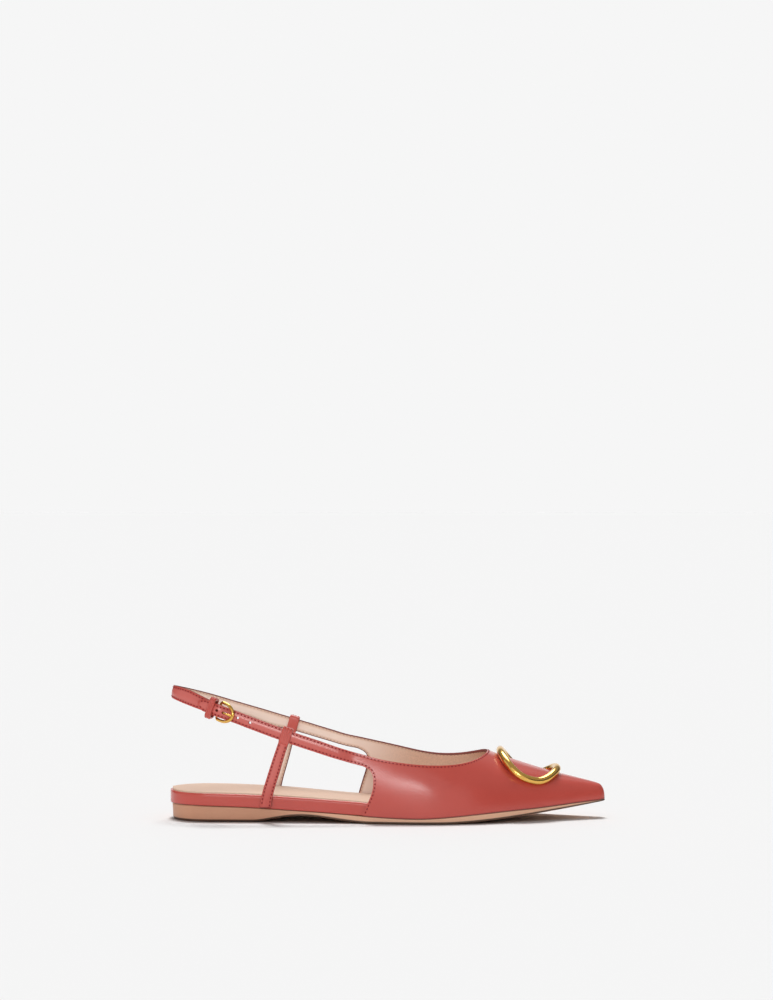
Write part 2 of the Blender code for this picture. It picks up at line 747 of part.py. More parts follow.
def build_upper(group, tools, material):
    """Vamp, quarters and sling arms as one hollow wall, rolled round the buckle's bar and pierced."""
    grids = [vamp(), *SLING.quarters.values(), *arm_rows()]
    upper = grids_object("upper", grids, group, material)
    solidify(upper, WALL, -1.0)
    lowest = (ROLL_SLOT + ROLL_LENGTH) / 2
    for end, name in ((-lowest, "roll_low"), (lowest, "roll_high")):
        roll = cylinder(name, ROLL_RADIUS, ROLL_LENGTH, tools, ROUND_SEGMENTS)
        roll.matrix_world = upright(place_matrix(BAR_PLACE, (0, end, BAR_DEPTH)))
        as_tool(roll)
        boolean(upper, roll, "UNION")
    bores = (("bar_bore", ROLL_BORE, 3 * STRAP_WIDTH), ("eye_slot", SLOT_RADIUS, ROLL_SLOT))
    for name, radius, length in bores:
        bore = cylinder(name, radius, length, tools, ROUND_SEGMENTS)
        bore.matrix_world = upright(place_matrix(BAR_PLACE, (0, 0, BAR_DEPTH)))
        as_tool(bore)
        boolean(upper, bore, "DIFFERENCE")
    for number, station in enumerate(HOLE_STATIONS):
        hole = cylinder("strap_hole_%d" % number, HOLE_RADIUS, 6 * WALL, tools, HOLE_SEGMENTS)
        hole.matrix_world = place_matrix(SLING.at_station(station, LATERAL), (0, 0, 0))
        as_tool(hole)
        boolean(upper, hole, "DIFFERENCE")
    slot = prong_slot(tools)
    boolean(upper, slot, "DIFFERENCE")
    return upper


def prong_slot(tools):
    """Hole drawn long by the prong where it comes out through the outer strap."""
    width = PRONG_RADIUS + FIT
    turns = np.linspace(0, np.pi, SLOT_STEPS)
    front = np.stack([PRONG_SLOT_END - width + width * np.sin(turns), width * np.cos(turns)], -1)
    rear = np.stack([PRONG_SLOT_START + width - width * np.sin(turns), -width * np.cos(turns)], -1)
    outline = np.concatenate([front, rear])
    made = bmesh.new()
    floor, ceiling = BAR_DEPTH, 3 * WALL
    rings = [[made.verts.new((x * MM, y * MM, level * MM)) for x, y in outline] for level in (floor, ceiling)]
    count = len(outline)
    for j in range(count):
        k = (j + 1) % count
        made.faces.new((rings[0][j], rings[0][k], rings[1][k], rings[1][j]))
    made.faces.new(rings[0][::-1])
    made.faces.new(rings[1])
    bmesh.ops.recalc_face_normals(made, faces=made.faces)
    mesh = bpy.data.meshes.new("prong_slot")
    made.to_mesh(mesh)
    made.free()
    slot = finish_mesh(mesh, "prong_slot", tools, None)
    slot.matrix_world = place_matrix(BAR_PLACE, (0, 0, 0))
    as_tool(slot)
    return slot


def build_side_strap(side, name, group, tools, material):
    """Ribbon from the sole's edge up to a sleeve that holds the sling."""
    place = SLING.at_station(SLEEVE_STATIONS[side], side)
    middle, along, up, out = SLING.axes(place)
    outward = out * (-WALL / 2)
    below = STRAP_WIDTH / 2 + SLEEVE_CLEARANCE + SLEEVE_WALL / 2
    start = middle + outward - below * up
    rows = table(SIDE_STRAP_COLUMNS, SIDE_STRAP_ROWS[side])
    foot = rows["station"][-1]
    reach = half_width(foot, side) + FIT + SIDE_STRAP_THICKNESS / 2
    fall = (start[2] - rows["height"]) / (start[2] - rows["height"][-1])
    across = start[1] + (side * reach - start[1]) * ease(0, SIDE_STRAP_SETTLE, fall)
    knots = np.concatenate([[start], np.column_stack([rows["station"], across, rows["height"]])])
    share = np.linspace(0, 1, SIDE_STRAP_STEPS)
    line = path(knots, share)
    flare = half_width(foot + HALF_STEP, side) - half_width(foot - HALF_STEP, side)
    level = np.array([1.0, side * flare, 0.0]) * SIDE_STRAP_WIDTH / 2
    tilted = along * np.sign(along[0]) * (SLEEVE_LENGTH / 2 - SLEEVE_MARGIN)
    width = tilted + ease(0, SIDE_STRAP_TWIST, share)[:, None] * (level - tilted)
    columns = np.linspace(-1, 1, 3)[None, :, None]
    strap = grids_object(name, [line[:, None] + columns * width[:, None]], group, material)
    solidify(strap, SIDE_STRAP_THICKNESS, 0.0)
    loop = sleeve(name + "_sleeve", STRAP_WIDTH + 2 * SLEEVE_CLEARANCE, WALL + 2 * SLEEVE_CLEARANCE,
                  SLEEVE_LENGTH, SLEEVE_WALL, tools, None)
    loop.matrix_world = place_matrix(place, (0, 0, -WALL / 2))
    as_tool(loop)
    boolean(strap, loop, "UNION")


def build_keeper(group, material):
    """Loop round both strap layers behind the buckle."""
    tip_lift = LIFT["lift"][0]
    depth = WALL + tip_lift + 2 * (FIT + KEEPER_SPARE)
    keeper = sleeve("strap_keeper", STRAP_WIDTH + 2 * KEEPER_CLEARANCE, depth, KEEPER_LENGTH, KEEPER_WALL,
                    group, material)
    place = BAR_PLACE - KEEPER_CENTRE
    keeper.matrix_world = place_matrix(place, (0, 0, (tip_lift - WALL) / 2 + KEEPER_SPARE))


def build_buckle(group, material):
    """D frame with its straight bar, and the prong that turns on it."""
    turns = np.linspace(np.pi / 2, -np.pi / 2, FRAME_STEPS)
    arc = np.stack([FRAME_STRAIGHT + (FRAME_REACH - FRAME_STRAIGHT) * np.cos(turns),
                    FRAME_HALF_HEIGHT * np.sin(turns)], -1)
    bevel = FRAME_CORNER * (1 - np.sqrt(0.5))
    corner = np.array([[0.0, FRAME_CORNER - FRAME_HALF_HEIGHT], [0.0, FRAME_HALF_HEIGHT - FRAME_CORNER],
                       [bevel, FRAME_HALF_HEIGHT - bevel], [FRAME_CORNER, FRAME_HALF_HEIGHT]])
    plan = np.concatenate([corner, arc, corner[:1:-1] * np.array([1, -1])])
    rise = BAR_DEPTH + FRAME_TILT_RISE * plan[:, 0] / FRAME_REACH
    points = np.column_stack([plan, rise])
    radii = np.where(plan[:, 0] < bevel, BAR_RADIUS / FRAME_RADIUS, 1.0)
    frame = rod("buckle_frame", points, radii, FRAME_RADIUS, True, group, material)
    frame.matrix_world = place_matrix(BAR_PLACE, (0, 0, 0))
    eye = BAR_RADIUS + FIT + PRONG_RADIUS
    turns = np.linspace(PRONG_EYE_START, PRONG_EYE_END, PRONG_STEPS)
    loop = np.stack([eye * np.cos(turns), 0 * turns, BAR_DEPTH + eye * np.sin(turns)], -1)
    rest = BAR_DEPTH + FRAME_TILT_RISE + FRAME_RADIUS + FIT + PRONG_RADIUS
    straight = np.array([[FRAME_REACH, 0, rest], [PRONG_TIP, 0, rest]])
    points = np.concatenate([loop, straight])
    prong = rod("buckle_prong", points, np.ones(len(points)), PRONG_RADIUS, False, group, material)
    prong.matrix_world = place_matrix(BAR_PLACE, (0, 0, 0))


def fuller(value):
    """Cosine or sine of an oval with fuller corners."""
    return np.sign(value) * np.abs(value)**RING_SQUARENESS


def build_ring(group, material):
    """Oval rod ring with full corners that follows the vamp over its ridge."""
    turns = np.linspace(0, 2 * np.pi, RING_STEPS, endpoint=False)
    station = RING_STATION + RING_HALF_LENGTH * fuller(np.cos(turns))
    narrowing = (half_width(station, LATERAL) / half_width(RING_STATION, LATERAL))**RING_NARROWING
    turn = turn_across(station, RING_SIDE + RING_HALF_WIDTH * narrowing * fuller(np.sin(turns)))
    forward = skin(station + SLOPE_STEP, turn) - skin(station - SLOPE_STEP, turn)
    sideways = skin(station, turn + SLOPE_STEP) - skin(station, turn - SLOPE_STEP)
    outward = unit(np.cross(forward, sideways))
    points = skin(station, turn) + outward * (RING_RADIUS + FIT) - np.array([HEEL_CENTRE, 0, 0])
    rod("vamp_ring", points, np.ones(RING_STEPS), RING_RADIUS, True, group, material)


def main():
    clear_scene()
    group = collection("slingback_flat")
    tools = collection("cutters")
    materials = {
        "coral": surface("coral_leather", CORAL, 0.4, 0.0),
        "nude": surface("nude_leather", NUDE, 0.55, 0.0),
        "tan": surface("tan_sole", TAN, 0.5, 0.0),
        "gold": surface("gold_metal", GOLD, 0.2, 1.0),
    }
    build_bottom(group, materials)
    build_upper(group, tools, materials["coral"])
    build_side_strap(LATERAL, "side_strap_lateral", group, tools, materials["coral"])
    build_side_strap(MEDIAL, "side_strap_medial", group, tools, materials["coral"])
    build_keeper(group, materials["coral"])
    build_buckle(group, materials["gold"])
    build_ring(group, materials["gold"])


main()
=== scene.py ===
"""Looks of the pointed slingback flat: calf, lining, thread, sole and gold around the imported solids.

Sizes are in millimetres on stations, which run forward from the back of the footbed, until a piece is
put into the scene in metres. Toe towards +X, outer side of the foot towards -Y.
"""

import bpy
import numpy as np
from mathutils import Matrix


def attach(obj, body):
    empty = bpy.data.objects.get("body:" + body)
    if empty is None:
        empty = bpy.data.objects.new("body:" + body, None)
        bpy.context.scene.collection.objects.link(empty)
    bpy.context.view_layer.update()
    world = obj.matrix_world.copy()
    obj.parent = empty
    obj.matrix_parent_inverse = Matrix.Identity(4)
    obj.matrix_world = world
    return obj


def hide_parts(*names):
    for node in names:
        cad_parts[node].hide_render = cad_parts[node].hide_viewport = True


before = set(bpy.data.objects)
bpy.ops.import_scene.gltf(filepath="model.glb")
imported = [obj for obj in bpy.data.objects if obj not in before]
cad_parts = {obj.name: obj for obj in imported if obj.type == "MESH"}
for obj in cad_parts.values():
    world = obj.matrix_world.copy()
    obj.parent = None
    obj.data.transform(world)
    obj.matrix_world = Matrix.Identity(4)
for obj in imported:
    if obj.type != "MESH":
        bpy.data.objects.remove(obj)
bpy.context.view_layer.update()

MM = 0.001
LATERAL, MEDIAL = SIDES = -1, 1

# Sizes shared with the solids
LENGTH = 260.5
HEEL_CENTRE = 26.0
WALL = 1.6
FIT = 0.3
HEEL_ROUND = 27.0
HEEL_ROUND_POWER = 2.2
HEEL_TREAD_END = 50.0
BALL_START = 124.0
BALL_END = 162.0
ARCH_RISE = 3.5
ARCH_RISE_POWER = 2.0
ARCH_FALL_POWER = 3.0
TOE_SPRING = 10.4
TOE_SPRING_POWER = 1.6
TREAD_BEVEL_SHARE = 0.35
HEEL_STEP = 1.1
HEEL_TAPER = 1.6
NARROWEST_WALL = 0.5
SOLE_FLARE_START = 104.0
SOLE_FLARE_END = 122.0
RIM_ROUND_SHARE = 0.4
BED_INSET = 0.5
BED_INSET_START = 116.0
BED_INSET_END = 126.0
BED_TOE = 254.0
INSOLE_TOE = 250.0
BED_TOE_ROUND = 8.0
INSOLE_INSET = 1.3
INSOLE_EDGE = 0.7
INSOLE_DOME = 0.6
INSOLE_NARROWEST = 0.5
NOSE = 4.2
NOSE_POWER = 2.5
THROAT = 190.2
VAMP_REAR = 176.0
STRAP_WIDTH = 7.2
STRAP_LEAN = np.radians(10.0)
ROOT_BLEND = 30.0
STRAP_TIP = 19.0
TIP_TAPER = 5.0
TIP_NARROWEST = 0.35
HOLE_RADIUS = 0.8
HOLE_STATIONS = (42.2, 49.5)
BAR_STATION = 30.6
BAR_RADIUS = 0.7
BAR_DEPTH = -0.8
FRAME_RADIUS = 0.95
FRAME_REACH = 10.1
FRAME_STRAIGHT = 3.0
FRAME_HALF_HEIGHT = 5.3
FRAME_CORNER = 1.2
FRAME_TILT_RISE = 3.1
PRONG_TIP = 10.7
PRONG_EYE_START = np.radians(-190.0)
PRONG_EYE_END = np.radians(70.0)
ROLL_RADIUS = 1.85
ROLL_BORE = 1.0
ROLL_LENGTH = 2.1
ROLL_SLOT = 2.6
BACK_STRAP_END = 1.3
KEEPER_CENTRE = -4.3
KEEPER_LENGTH = 3.8
KEEPER_WALL = 1.3
KEEPER_SPARE = 0.2
SIDE_STRAP_THICKNESS = 1.3
SIDE_STRAP_WIDTH = 6.8
SIDE_STRAP_SETTLE = 0.75
SIDE_STRAP_TWIST = 0.5
SLEEVE_LENGTH = 6.1
SLEEVE_WALL = 1.2
SLEEVE_CLEARANCE = 0.45
SLEEVE_CORNER = 0.7
SLEEVE_MARGIN = 0.05
RING_STATION = 214.0
RING_HALF_LENGTH = 17.0
RING_SIDE = 0.5
RING_HALF_WIDTH = 20.5
RING_NARROWING = 0.7
RING_SQUARENESS = 0.8
RING_RADIUS = 2.4

# Sizes of the looks alone, or drawn a little softer or fuller than in the solids
TREAD_BEVEL = 1.0
TREAD_LIFT_REACH = 7.0
TREAD_LIFT_SHARE = 0.3
RIM_ROUND = 1.5
RIM_TURN_IN = 0.6
INSOLE_ROUND_POWER = 40
INSOLE_TUCK = 0.35
INSOLE_TUCK_POWER = 160
CORE_SHARE = 0.1
BED_CORE_SHARE = 0.5
SLOPE_BLEND = 16.0
PRONG_RADIUS = 0.6
PRONG_BLUNT = 0.05
PRONG_SLOT_START = 3.2
PRONG_SLOT_END = 6.2
PRONG_SLOT_SPARE = 0.1
HOLE_TOP = 5.0
HOLE_BOTTOM = -4.0
BLIND_HOLE_FLOOR = 1.8
KEEPER_CLEARANCE = 1.4
LOOP_ROUND_POWER = 8

# Sections across the bottom
BOTTOM_COLUMNS = ("station", "lateral", "medial", "feather", "rim", "fall")
BOTTOM_ROWS = (
    (0.0, 25.2, 25.2, 9.6, 17.2, 0.0),
    (15.0, 26.0, 25.8, 9.5, 17.1, 0.0),
    (32.0, 26.8, 26.0, 9.1, 16.9, 0.0),
    (50.0, 27.4, 25.4, 8.4, 16.3, 0.0),
    (70.0, 28.2, 23.8, 7.1, 15.3, 0.0),
    (95.0, 30.4, 20.8, 5.6, 13.7, 0.5),
    (116.0, 33.4, 21.6, 4.2, 12.3, 1.0),
    (135.0, 36.4, 27.4, 3.2, 10.2, 0.7),
    (150.0, 37.8, 32.0, 3.0, 8.6, 0.2),
    (165.0, 37.4, 34.4, 3.8, 8.3, 0.0),
    (180.0, 34.6, 33.4, 5.0, 9.0, 0.0),
    (200.0, 28.0, 28.4, 6.5, 10.2, 0.0),
    (220.0, 19.8, 20.6, 7.7, 11.2, 0.0),
    (241.0, 10.4, 11.2, 9.5, 12.8, 0.0),
    (260.5, 2.0, 2.2, 11.0, 14.2, 0.0),
)

# Sections of the upper
LAST_COLUMNS = ("station", "ridge", "ridge_side", "fullness")
LAST_ROWS = (
    (95.0, 92.0, 6.0, 2.30),
    (116.0, 78.0, 6.0, 2.30),
    (135.0, 67.0, 5.5, 2.30),
    (150.0, 59.0, 5.0, 2.30),
    (165.0, 51.6, 4.5, 2.30),
    (180.0, 44.6, 4.0, 2.30),
    (190.0, 40.3, 3.5, 2.32),
    (205.0, 34.9, 3.0, 2.35),
    (220.0, 30.2, 2.4, 2.40),
    (237.0, 25.6, 1.5, 2.50),
    (252.0, 21.9, 0.6, 2.60),
    (260.5, 19.4, 0.0, 2.70),
)

# Topline, from the ridge (0) towards the feather line (1)
TOPLINE_COLUMNS = ("station", "lateral", "medial")
TOPLINE_ROWS = (
    (THROAT, 0.0, 0.0),
    (188.6, 0.20, 0.17),
    (184.6, 0.36, 0.32),
    (176.0, 0.51, 0.475),
    (160.0, 0.62, 0.588),
    (140.0, 0.68, 0.622),
    (117.0, 0.710, 0.652),
    (112.0, 0.710, 0.660),
)

# Rear edges of the quarters, upwards
REAR_COLUMNS = ("station", "height")
REAR_ROWS = {
    LATERAL: ((115.0, 4.5), (118.2, 11.8), (121.0, 19.0), (121.7, 25.4), (120.1, 30.9), (115.2, 33.9)),
    MEDIAL: ((110.2, 4.8), (112.6, 12.5), (115.1, 21.0), (117.5, 29.6), (117.1, 36.0), (111.6, 39.9)),
}
ROOT_STATIONS = {LATERAL: 116.6, MEDIAL: 112.0}

# Upper edge of the sling, round the heel
SLING_COLUMNS = ("station", "side", "top")
SLING_ROWS = (
    (102.0, -31.7, 44.5),
    (90.0, -31.0, 48.5),
    (78.5, -30.0, 52.2),
    (66.0, -28.8, 56.5),
    (54.0, -27.3, 60.8),
    (44.0, -25.8, 64.5),
    (34.0, -23.8, 68.2),
    (24.0, -20.6, 71.8),
    (16.0, -16.6, 74.4),
    (9.5, -12.0, 76.5),
    (4.4, -6.6, 78.2),
    (1.6, 0.0, 79.2),
    (4.4, 6.6, 78.4),
    (9.5, 11.8, 76.9),
    (16.0, 15.8, 75.0),
    (24.0, 19.4, 72.6),
    (35.5, 22.7, 68.9),
    (52.4, 25.0, 63.8),
    (64.5, 25.8, 60.1),
    (76.7, 25.6, 56.5),
    (89.0, 24.4, 52.9),
    (101.0, 22.6, 49.5),
)

# Lift of the outer strap over the bar and the strap beneath
LIFT_COLUMNS = ("along", "lift")
LIFT_ROWS = (
    (-20.0, 2.0),
    (-6.0, 2.0),
    (-2.4, 2.45),
    (0.0, 3.0),
    (2.0, 2.85),
    (5.0, 1.8),
    (8.0, 0.65),
    (10.5, 0.2),
    (14.0, 0.0),
    (24.0, 0.0),
)

# Middle line of the side straps below their sleeves
SIDE_STRAP_COLUMNS = ("station", "height")
SIDE_STRAP_ROWS = {
    LATERAL: ((65.2, 36.5), (62.3, 27.0), (59.6, 18.0), (57.9, 8.8)),
    MEDIAL: ((67.6, 36.5), (64.9, 27.0), (62.5, 18.0), (61.0, 8.6)),
}
SLEEVE_STATIONS = {LATERAL: 70.7, MEDIAL: 73.2}

# Soft troughs (below zero) and swellings of the upper: place on the skin, reach along and round it, how far
# the line leans along for each reach round, depth
CREASE_COLUMNS = ("station", "turn", "along", "round", "lean", "depth")
CREASE_ROWS = (
    (171.0, -0.80, 9.0, 0.16, 0.072, -0.25),
    (181.0, -0.70, 7.0, 0.20, 0.0864, 0.18),
    (176.0, 0.78, 8.0, 0.18, -0.072, -0.25),
    (150.0, -0.90, 16.0, 0.10, 0.0, -0.20),
    (198.0, -0.45, 6.0, 0.30, 0.0576, -0.15),
    (134.0, -0.86, 7.0, 0.14, -0.072, 0.20),
)

# Fineness of the surfaces
CURVE_SAMPLES = 4001
TOPLINE_SAMPLES = 400
HALF_STEP = 0.5
SLOPE_STEP = 0.01
SIDE_COLUMNS = 54
REAR_EDGE_COLUMNS = 38
CROWN_COLUMNS = 48
CROWN = slice(SIDE_COLUMNS, SIDE_COLUMNS + CROWN_COLUMNS + 1)
QUARTER_ROWS = 60
NOSE_ROWS = 84
NOSE_ROWS_POWER = 2.0
LATERAL_ARM_ROWS = 200
MEDIAL_ARM_ROWS = 280
BOTTOM_STEPS = 130
HEEL_STEPS = 28
HEEL_FIRST = 0.02
TOE_STEPS = 16
TOE_LAST = 0.05
ROUND_STEPS = 9
FLAT_STEPS = 14
SOLE_EDGE_ROW = FLAT_STEPS + ROUND_STEPS - 2
STRAP_STEPS = 60
STRAP_COLUMNS = 17
LOOP_STEPS = 31
LOOP_CORNER_STEPS = 8
TUBE_SIDES = 20
HOLE_SIDES = 24
ROLL_SIDES = 40
FRAME_ARC_STEPS = 49
FRAME_CORNER_STEPS = 7
FRAME_BAR_STEPS = 9
PRONG_EYE_STEPS = 40
PRONG_SHANK_STEPS = 12
PRONG_END_STEPS = 2
RING_STEPS = 160
POINTS_AT_ONCE = 2000
WELD_DECIMALS = 4

# Stitches
STITCH_PITCH = 2.2
STITCH_LENGTH = 1.2
STITCH_THICKNESS = 0.74
STITCH_INSET = 1.05
STITCH_LIFT = 0.10
LINING_STITCH_LENGTH = 0.9
LINING_STITCH_THICKNESS = 0.36
LINING_STITCH_INSET = 0.8
LINING_STITCH_LIFT = 0.02
STITCH_SIDES = 6
STITCH_FLATNESS = 0.5
STITCH_SHAPE = np.array([-1.0, -0.75, 0.0, 0.75, 1.0])
SEAM_COLUMNS = 4
SEAM_MIDDLE = np.array([130.0, 0.0, 0.0])
SEAM_FACING = np.array([0.4, 1.0, 0.2])

# Ridges pressed into the loops: place along the loop, reach, height
SLEEVE_RIDGES = ((-2.0, 0.45, 0.6), (-0.2, 0.4, 0.6), (1.5, 0.4, 0.6))
KEEPER_RIDGES = ((-1.2, 0.35, 0.5), (0.0, 0.35, 0.5), (1.2, 0.35, 0.5))
RIDGE_FADE = 0.15

# Edges of the leather
EDGE_BEVEL = 0.4
EDGE_BEVEL_STEPS = 3
EDGE_BEVEL_ANGLE = np.radians(60)
STRAP_PUFF = 0.4
FAR_FROM_EDGE = 20.0

# Painted sheen on straps: its share on the loops, its run from each arm's root, its fade towards the side
# straps' feet
LOOP_SHEEN = 0.4
STRAP_SHEEN_RUN = 40.0
FOOT_SHEEN = 0.1
FOOT_SHEEN_RUN = (1.0, 0.5)

# Inner arm: its lower edge drawn down behind its sleeve, its upper edge higher near the heel
SAG_STATION = 60.0
SAG_REACH = 10.0
SAG_DEPTH = 1.1
RISE_STATION = 11.0
RISE_REACH = 12.0
RISE_HEIGHT = 1.5

# Patterns and tones of the leather, in millimetres. Real pores are finer: these are coarse enough to show
CLOUD_SIZE = 22.0
PORE_SIZE = 0.9
PORE_DEPTH = 0.25
SPECK_RANGE = (0.3, 0.7)
# Painted light on the lining, growing from the first to the second place forward (m), towards the open back
OPEN_BACK_LIGHT = (125.0 * MM, 88.0 * MM)
# Run in from a strap's edges (mm) over which its painted sheen comes in
PAINTED_SHEEN_RUN = (0.6, 2.4)
# Painted shade in the crease where the leather meets the sole: its reach (mm) and darkest tone
SEAT_SHADE_REACH = 1.1
SEAT_SHADE_TONE = 0.42
PRESS_REACH = 0.9
PRESS_DEPTH = 1.2
PRESS_TONE = 0.93
PAINT_LAP = (0.3, 0.6)
EDGE_PAINT = "#6E2D25"

# Patterns of the sole. Real scratches are finer: these are coarse enough to show
MOTTLE_SIZE = 14.0
SCRATCH_SIZE = 0.8
SCRATCH_STRETCH = 0.08
FORE_RUN = (20.0 * MM, 90.0 * MM)
# Painted contact shadow on the sole's lower edge: its run in from the edge row (mm), and its strength
CONTACT_SHADOW_RUN = (0.25, 0.9)
CONTACT_SHADOW_SHARE = 0.9

# Patterns of plate and thread
POLISH_SIZE = 3.0
PLY_SIZE = 0.5

# Surroundings by direction: bright behind the shoe, part bright above it, dim elsewhere
FLOOR_HALF = 40.0
FLOOR_TONE = 0.80
BRIGHT_BEHIND = (0.80, 0.95)
BRIGHT_ABOVE = (0.15, 0.75)
ABOVE_SHARE = 0.35
DIM, BRIGHT = 0.12, 0.922

# Lamps: name, strength, then width, tilt and turn in degrees. The floor has a lamp of its own,
# which keeps the shadow close under the sole, and the shoe has the others
LAMP_ROWS = (
    ("floor_wash", 2.62, 16.0, -19.0, 0.0),
    ("overhead", 2.3, 36.0, -26.0, 0.0),
    ("low_fill", 0.9, 80.0, 86.0, -10.0),
    ("heel_fill", 0.28, 50.0, 75.0, -75.0),
)
# Row of narrow lamps that draw the long highlight: the first and the last
STRIP_ENDS = ((0.08, 7.0, 77.0, -24.0), (0.15, 7.0, 75.5, -2.0))
STRIP_LAMPS = 5

CAMERA_PLACE = (0.1035, -1.650, 0.1905)
CAMERA_LENS = 98.9
CAMERA_SENSOR = 36.0


def table(columns, rows):
    """Columns of a table by name."""
    return dict(zip(columns, np.array(rows, float).T))


def spline(knots, values, places):
    """Natural cubic curve through the values at the knots, read at the places."""
    gaps = np.diff(knots)
    slopes = np.diff(values) / gaps
    count = len(knots)
    inner = np.arange(1, count - 1)
    system = np.eye(count)
    system[inner, inner - 1] = gaps[:-1]
    system[inner, inner] = 2 * (gaps[:-1] + gaps[1:])
    system[inner, inner + 1] = gaps[1:]
    bend = np.zeros(count)
    bend[inner] = 6 * np.diff(slopes)
    second = np.linalg.solve(system, bend)
    places = np.asarray(places, float)
    k = np.clip(np.searchsorted(knots, places) - 1, 0, count - 2)
    before = places - knots[k]
    after = knots[k + 1] - places
    curve = (second[k] * after**3 + second[k + 1] * before**3) / (6 * gaps[k])
    start = (values[k] / gaps[k] - second[k] * gaps[k] / 6) * after
    end = (values[k + 1] / gaps[k] - second[k + 1] * gaps[k] / 6) * before
    return curve + start + end


def run_of(points):
    """Distance along a line at each of its points."""
    return np.concatenate([[0], np.cumsum(np.linalg.norm(np.diff(points, axis=0), axis=1))])


def read_line(values, run, places):
    """Values along a line, read at distances along it."""
    return np.stack([np.interp(places, run, axis) for axis in values.T], -1)


def path(points, places):
    """Smooth curve through points in space, read at shares 0 to 1 of its chord length."""
    chord = run_of(points)
    return np.stack([spline(chord / chord[-1], axis, places) for axis in points.T], -1)


def ease(start, end, value):
    """Smooth step from 0 at start to 1 at end."""
    share = np.clip((value - start) / (end - start), 0, 1)
    return share * share * (3 - 2 * share)


def unit(vector):
    """Vectors of length 1."""
    return vector / np.maximum(np.linalg.norm(vector, axis=-1, keepdims=True), 1e-12)


def square_to(vector, direction):
    """Directions of the parts of vectors that are square to a direction."""
    return unit(vector - np.sum(vector * direction, -1, keepdims=True) * direction)


def once_round(count):
    """Angles once round, evenly apart."""
    return np.linspace(0, 2 * np.pi, count, endpoint=False)


def grid_of(*axes):
    """Points from their three coordinates."""
    return np.stack(np.broadcast_arrays(*axes), -1)


BOTTOM = table(BOTTOM_COLUMNS, BOTTOM_ROWS)
LAST = table(LAST_COLUMNS, LAST_ROWS)
TOPLINE = table(TOPLINE_COLUMNS, TOPLINE_ROWS)
LIFT = table(LIFT_COLUMNS, LIFT_ROWS)
CREASES = table(CREASE_COLUMNS, CREASE_ROWS)


def bottom(column, station):
    """A size of the bottom at a station."""
    return spline(BOTTOM["station"], BOTTOM[column], station)


def last(column, station):
    """A size of the upper at a station."""
    return spline(LAST["station"], LAST[column], station)


def blunt(station, end, length, power):
    """Rounding of an outline from 1 to 0 over the length before its end."""
    share = np.clip((station - end + length) / length, 0, 1)
    return (1 - share**power)**(1 / power)


def half_width(station, side):
    """Half width of the footbed on one side, rounded at the heel."""
    width = np.where(side < 0, bottom("lateral", station), bottom("medial", station))
    return width * blunt(-station, 0.0, HEEL_ROUND, HEEL_ROUND_POWER)


def rim(station, side, share):
    """Height of the footbed's top at a share of the half width on one side, tilted by its fall."""
    return bottom("rim", station) - bottom("fall", station) * (1 + side * share) / 2


def tread(station):
    """Height of the sole's underside: flat heel, arch, flat ball, toe spring."""
    share = np.clip((station - HEEL_TREAD_END) / (BALL_START - HEEL_TREAD_END), 0, 1)
    peak = ARCH_RISE_POWER / (ARCH_RISE_POWER + ARCH_FALL_POWER)
    shape = share**ARCH_RISE_POWER * (1 - share)**ARCH_FALL_POWER
    arch = ARCH_RISE * shape / (peak**ARCH_RISE_POWER * (1 - peak)**ARCH_FALL_POWER)
    spring = np.clip((station - BALL_END) / (LENGTH - BALL_END), 0, 1)
    return arch + TOE_SPRING * spring**TOE_SPRING_POWER


def skin(station, turn):
    """Outer face of the upper: a superellipse arch on the feather line at each station.

    The turn goes from -1 at the lateral feather line over 0 at the ridge to 1 at the medial one.
    """
    side = np.where(turn < 0, LATERAL, MEDIAL)
    angle = (1 - np.abs(turn)) * np.pi / 2
    power = 2 / last("fullness", station)
    rounding = blunt(station, LENGTH, NOSE, NOSE_POWER)
    middle = last("ridge_side", station)
    reach = half_width(station, side) + WALL + FIT - side * middle
    low = bottom("feather", station) + FIT
    across = (middle + side * reach * np.cos(angle)**power) * rounding
    height = low + (last("ridge", station) - low) * rounding * np.sin(angle)**power
    return grid_of(station, across, height)


def skin_normal(station, turn):
    """Outward direction of the skin: cross product of its slopes along the shoe and round it."""
    ahead = np.clip(station + SLOPE_STEP, None, LENGTH - SLOPE_STEP)
    forward = skin(ahead, turn) - skin(ahead - 2 * SLOPE_STEP, turn)
    inside = np.clip(turn, SLOPE_STEP - 1, 1 - SLOPE_STEP)
    round_it = skin(station, inside + SLOPE_STEP) - skin(station, inside - SLOPE_STEP)
    return unit(np.cross(forward, round_it))


def worn_skin(station, turn):
    """Skin with its creases: each is a bell of its depth along a line that leans across the turn."""
    lift = 0
    for place, middle, along, across, lean, depth in zip(*CREASES.values()):
        over = (turn - middle) / across
        lift = lift + depth * np.exp(-((station - place) / along - over * lean)**2 - over**2)
    return skin(station, turn) + skin_normal(station, turn) * lift[..., None]


def turn_at_height(station, height, side):
    """Turn at which the upper's section reaches a height."""
    low = bottom("feather", station) + FIT
    share = np.clip((height - low) / (last("ridge", station) - low), 0, 1)
    return side * (1 - np.arcsin(share**(last("fullness", station) / 2)) * 2 / np.pi)


def turn_across(station, across):
    """Turn at which the upper's section lies at a sideways place."""
    middle = last("ridge_side", station)
    side = np.where(across < middle, LATERAL, MEDIAL)
    reach = half_width(station, side) + WALL + FIT - side * middle
    share = np.clip(np.abs(across - middle) / reach, 0, 1)
    return side * (1 - np.arccos(share**(last("fullness", station) / 2)) * 2 / np.pi)


def topline_turn(station, side):
    """Turn of the topline, read along the root of the distance behind the throat."""
    reach = THROAT - TOPLINE["station"][-1]
    knots = np.sqrt((THROAT - TOPLINE["station"]) / reach)
    column = TOPLINE["lateral"] if side < 0 else TOPLINE["medial"]
    return side * spline(knots, column, np.sqrt(np.clip((THROAT - station) / reach, 0, 1)))


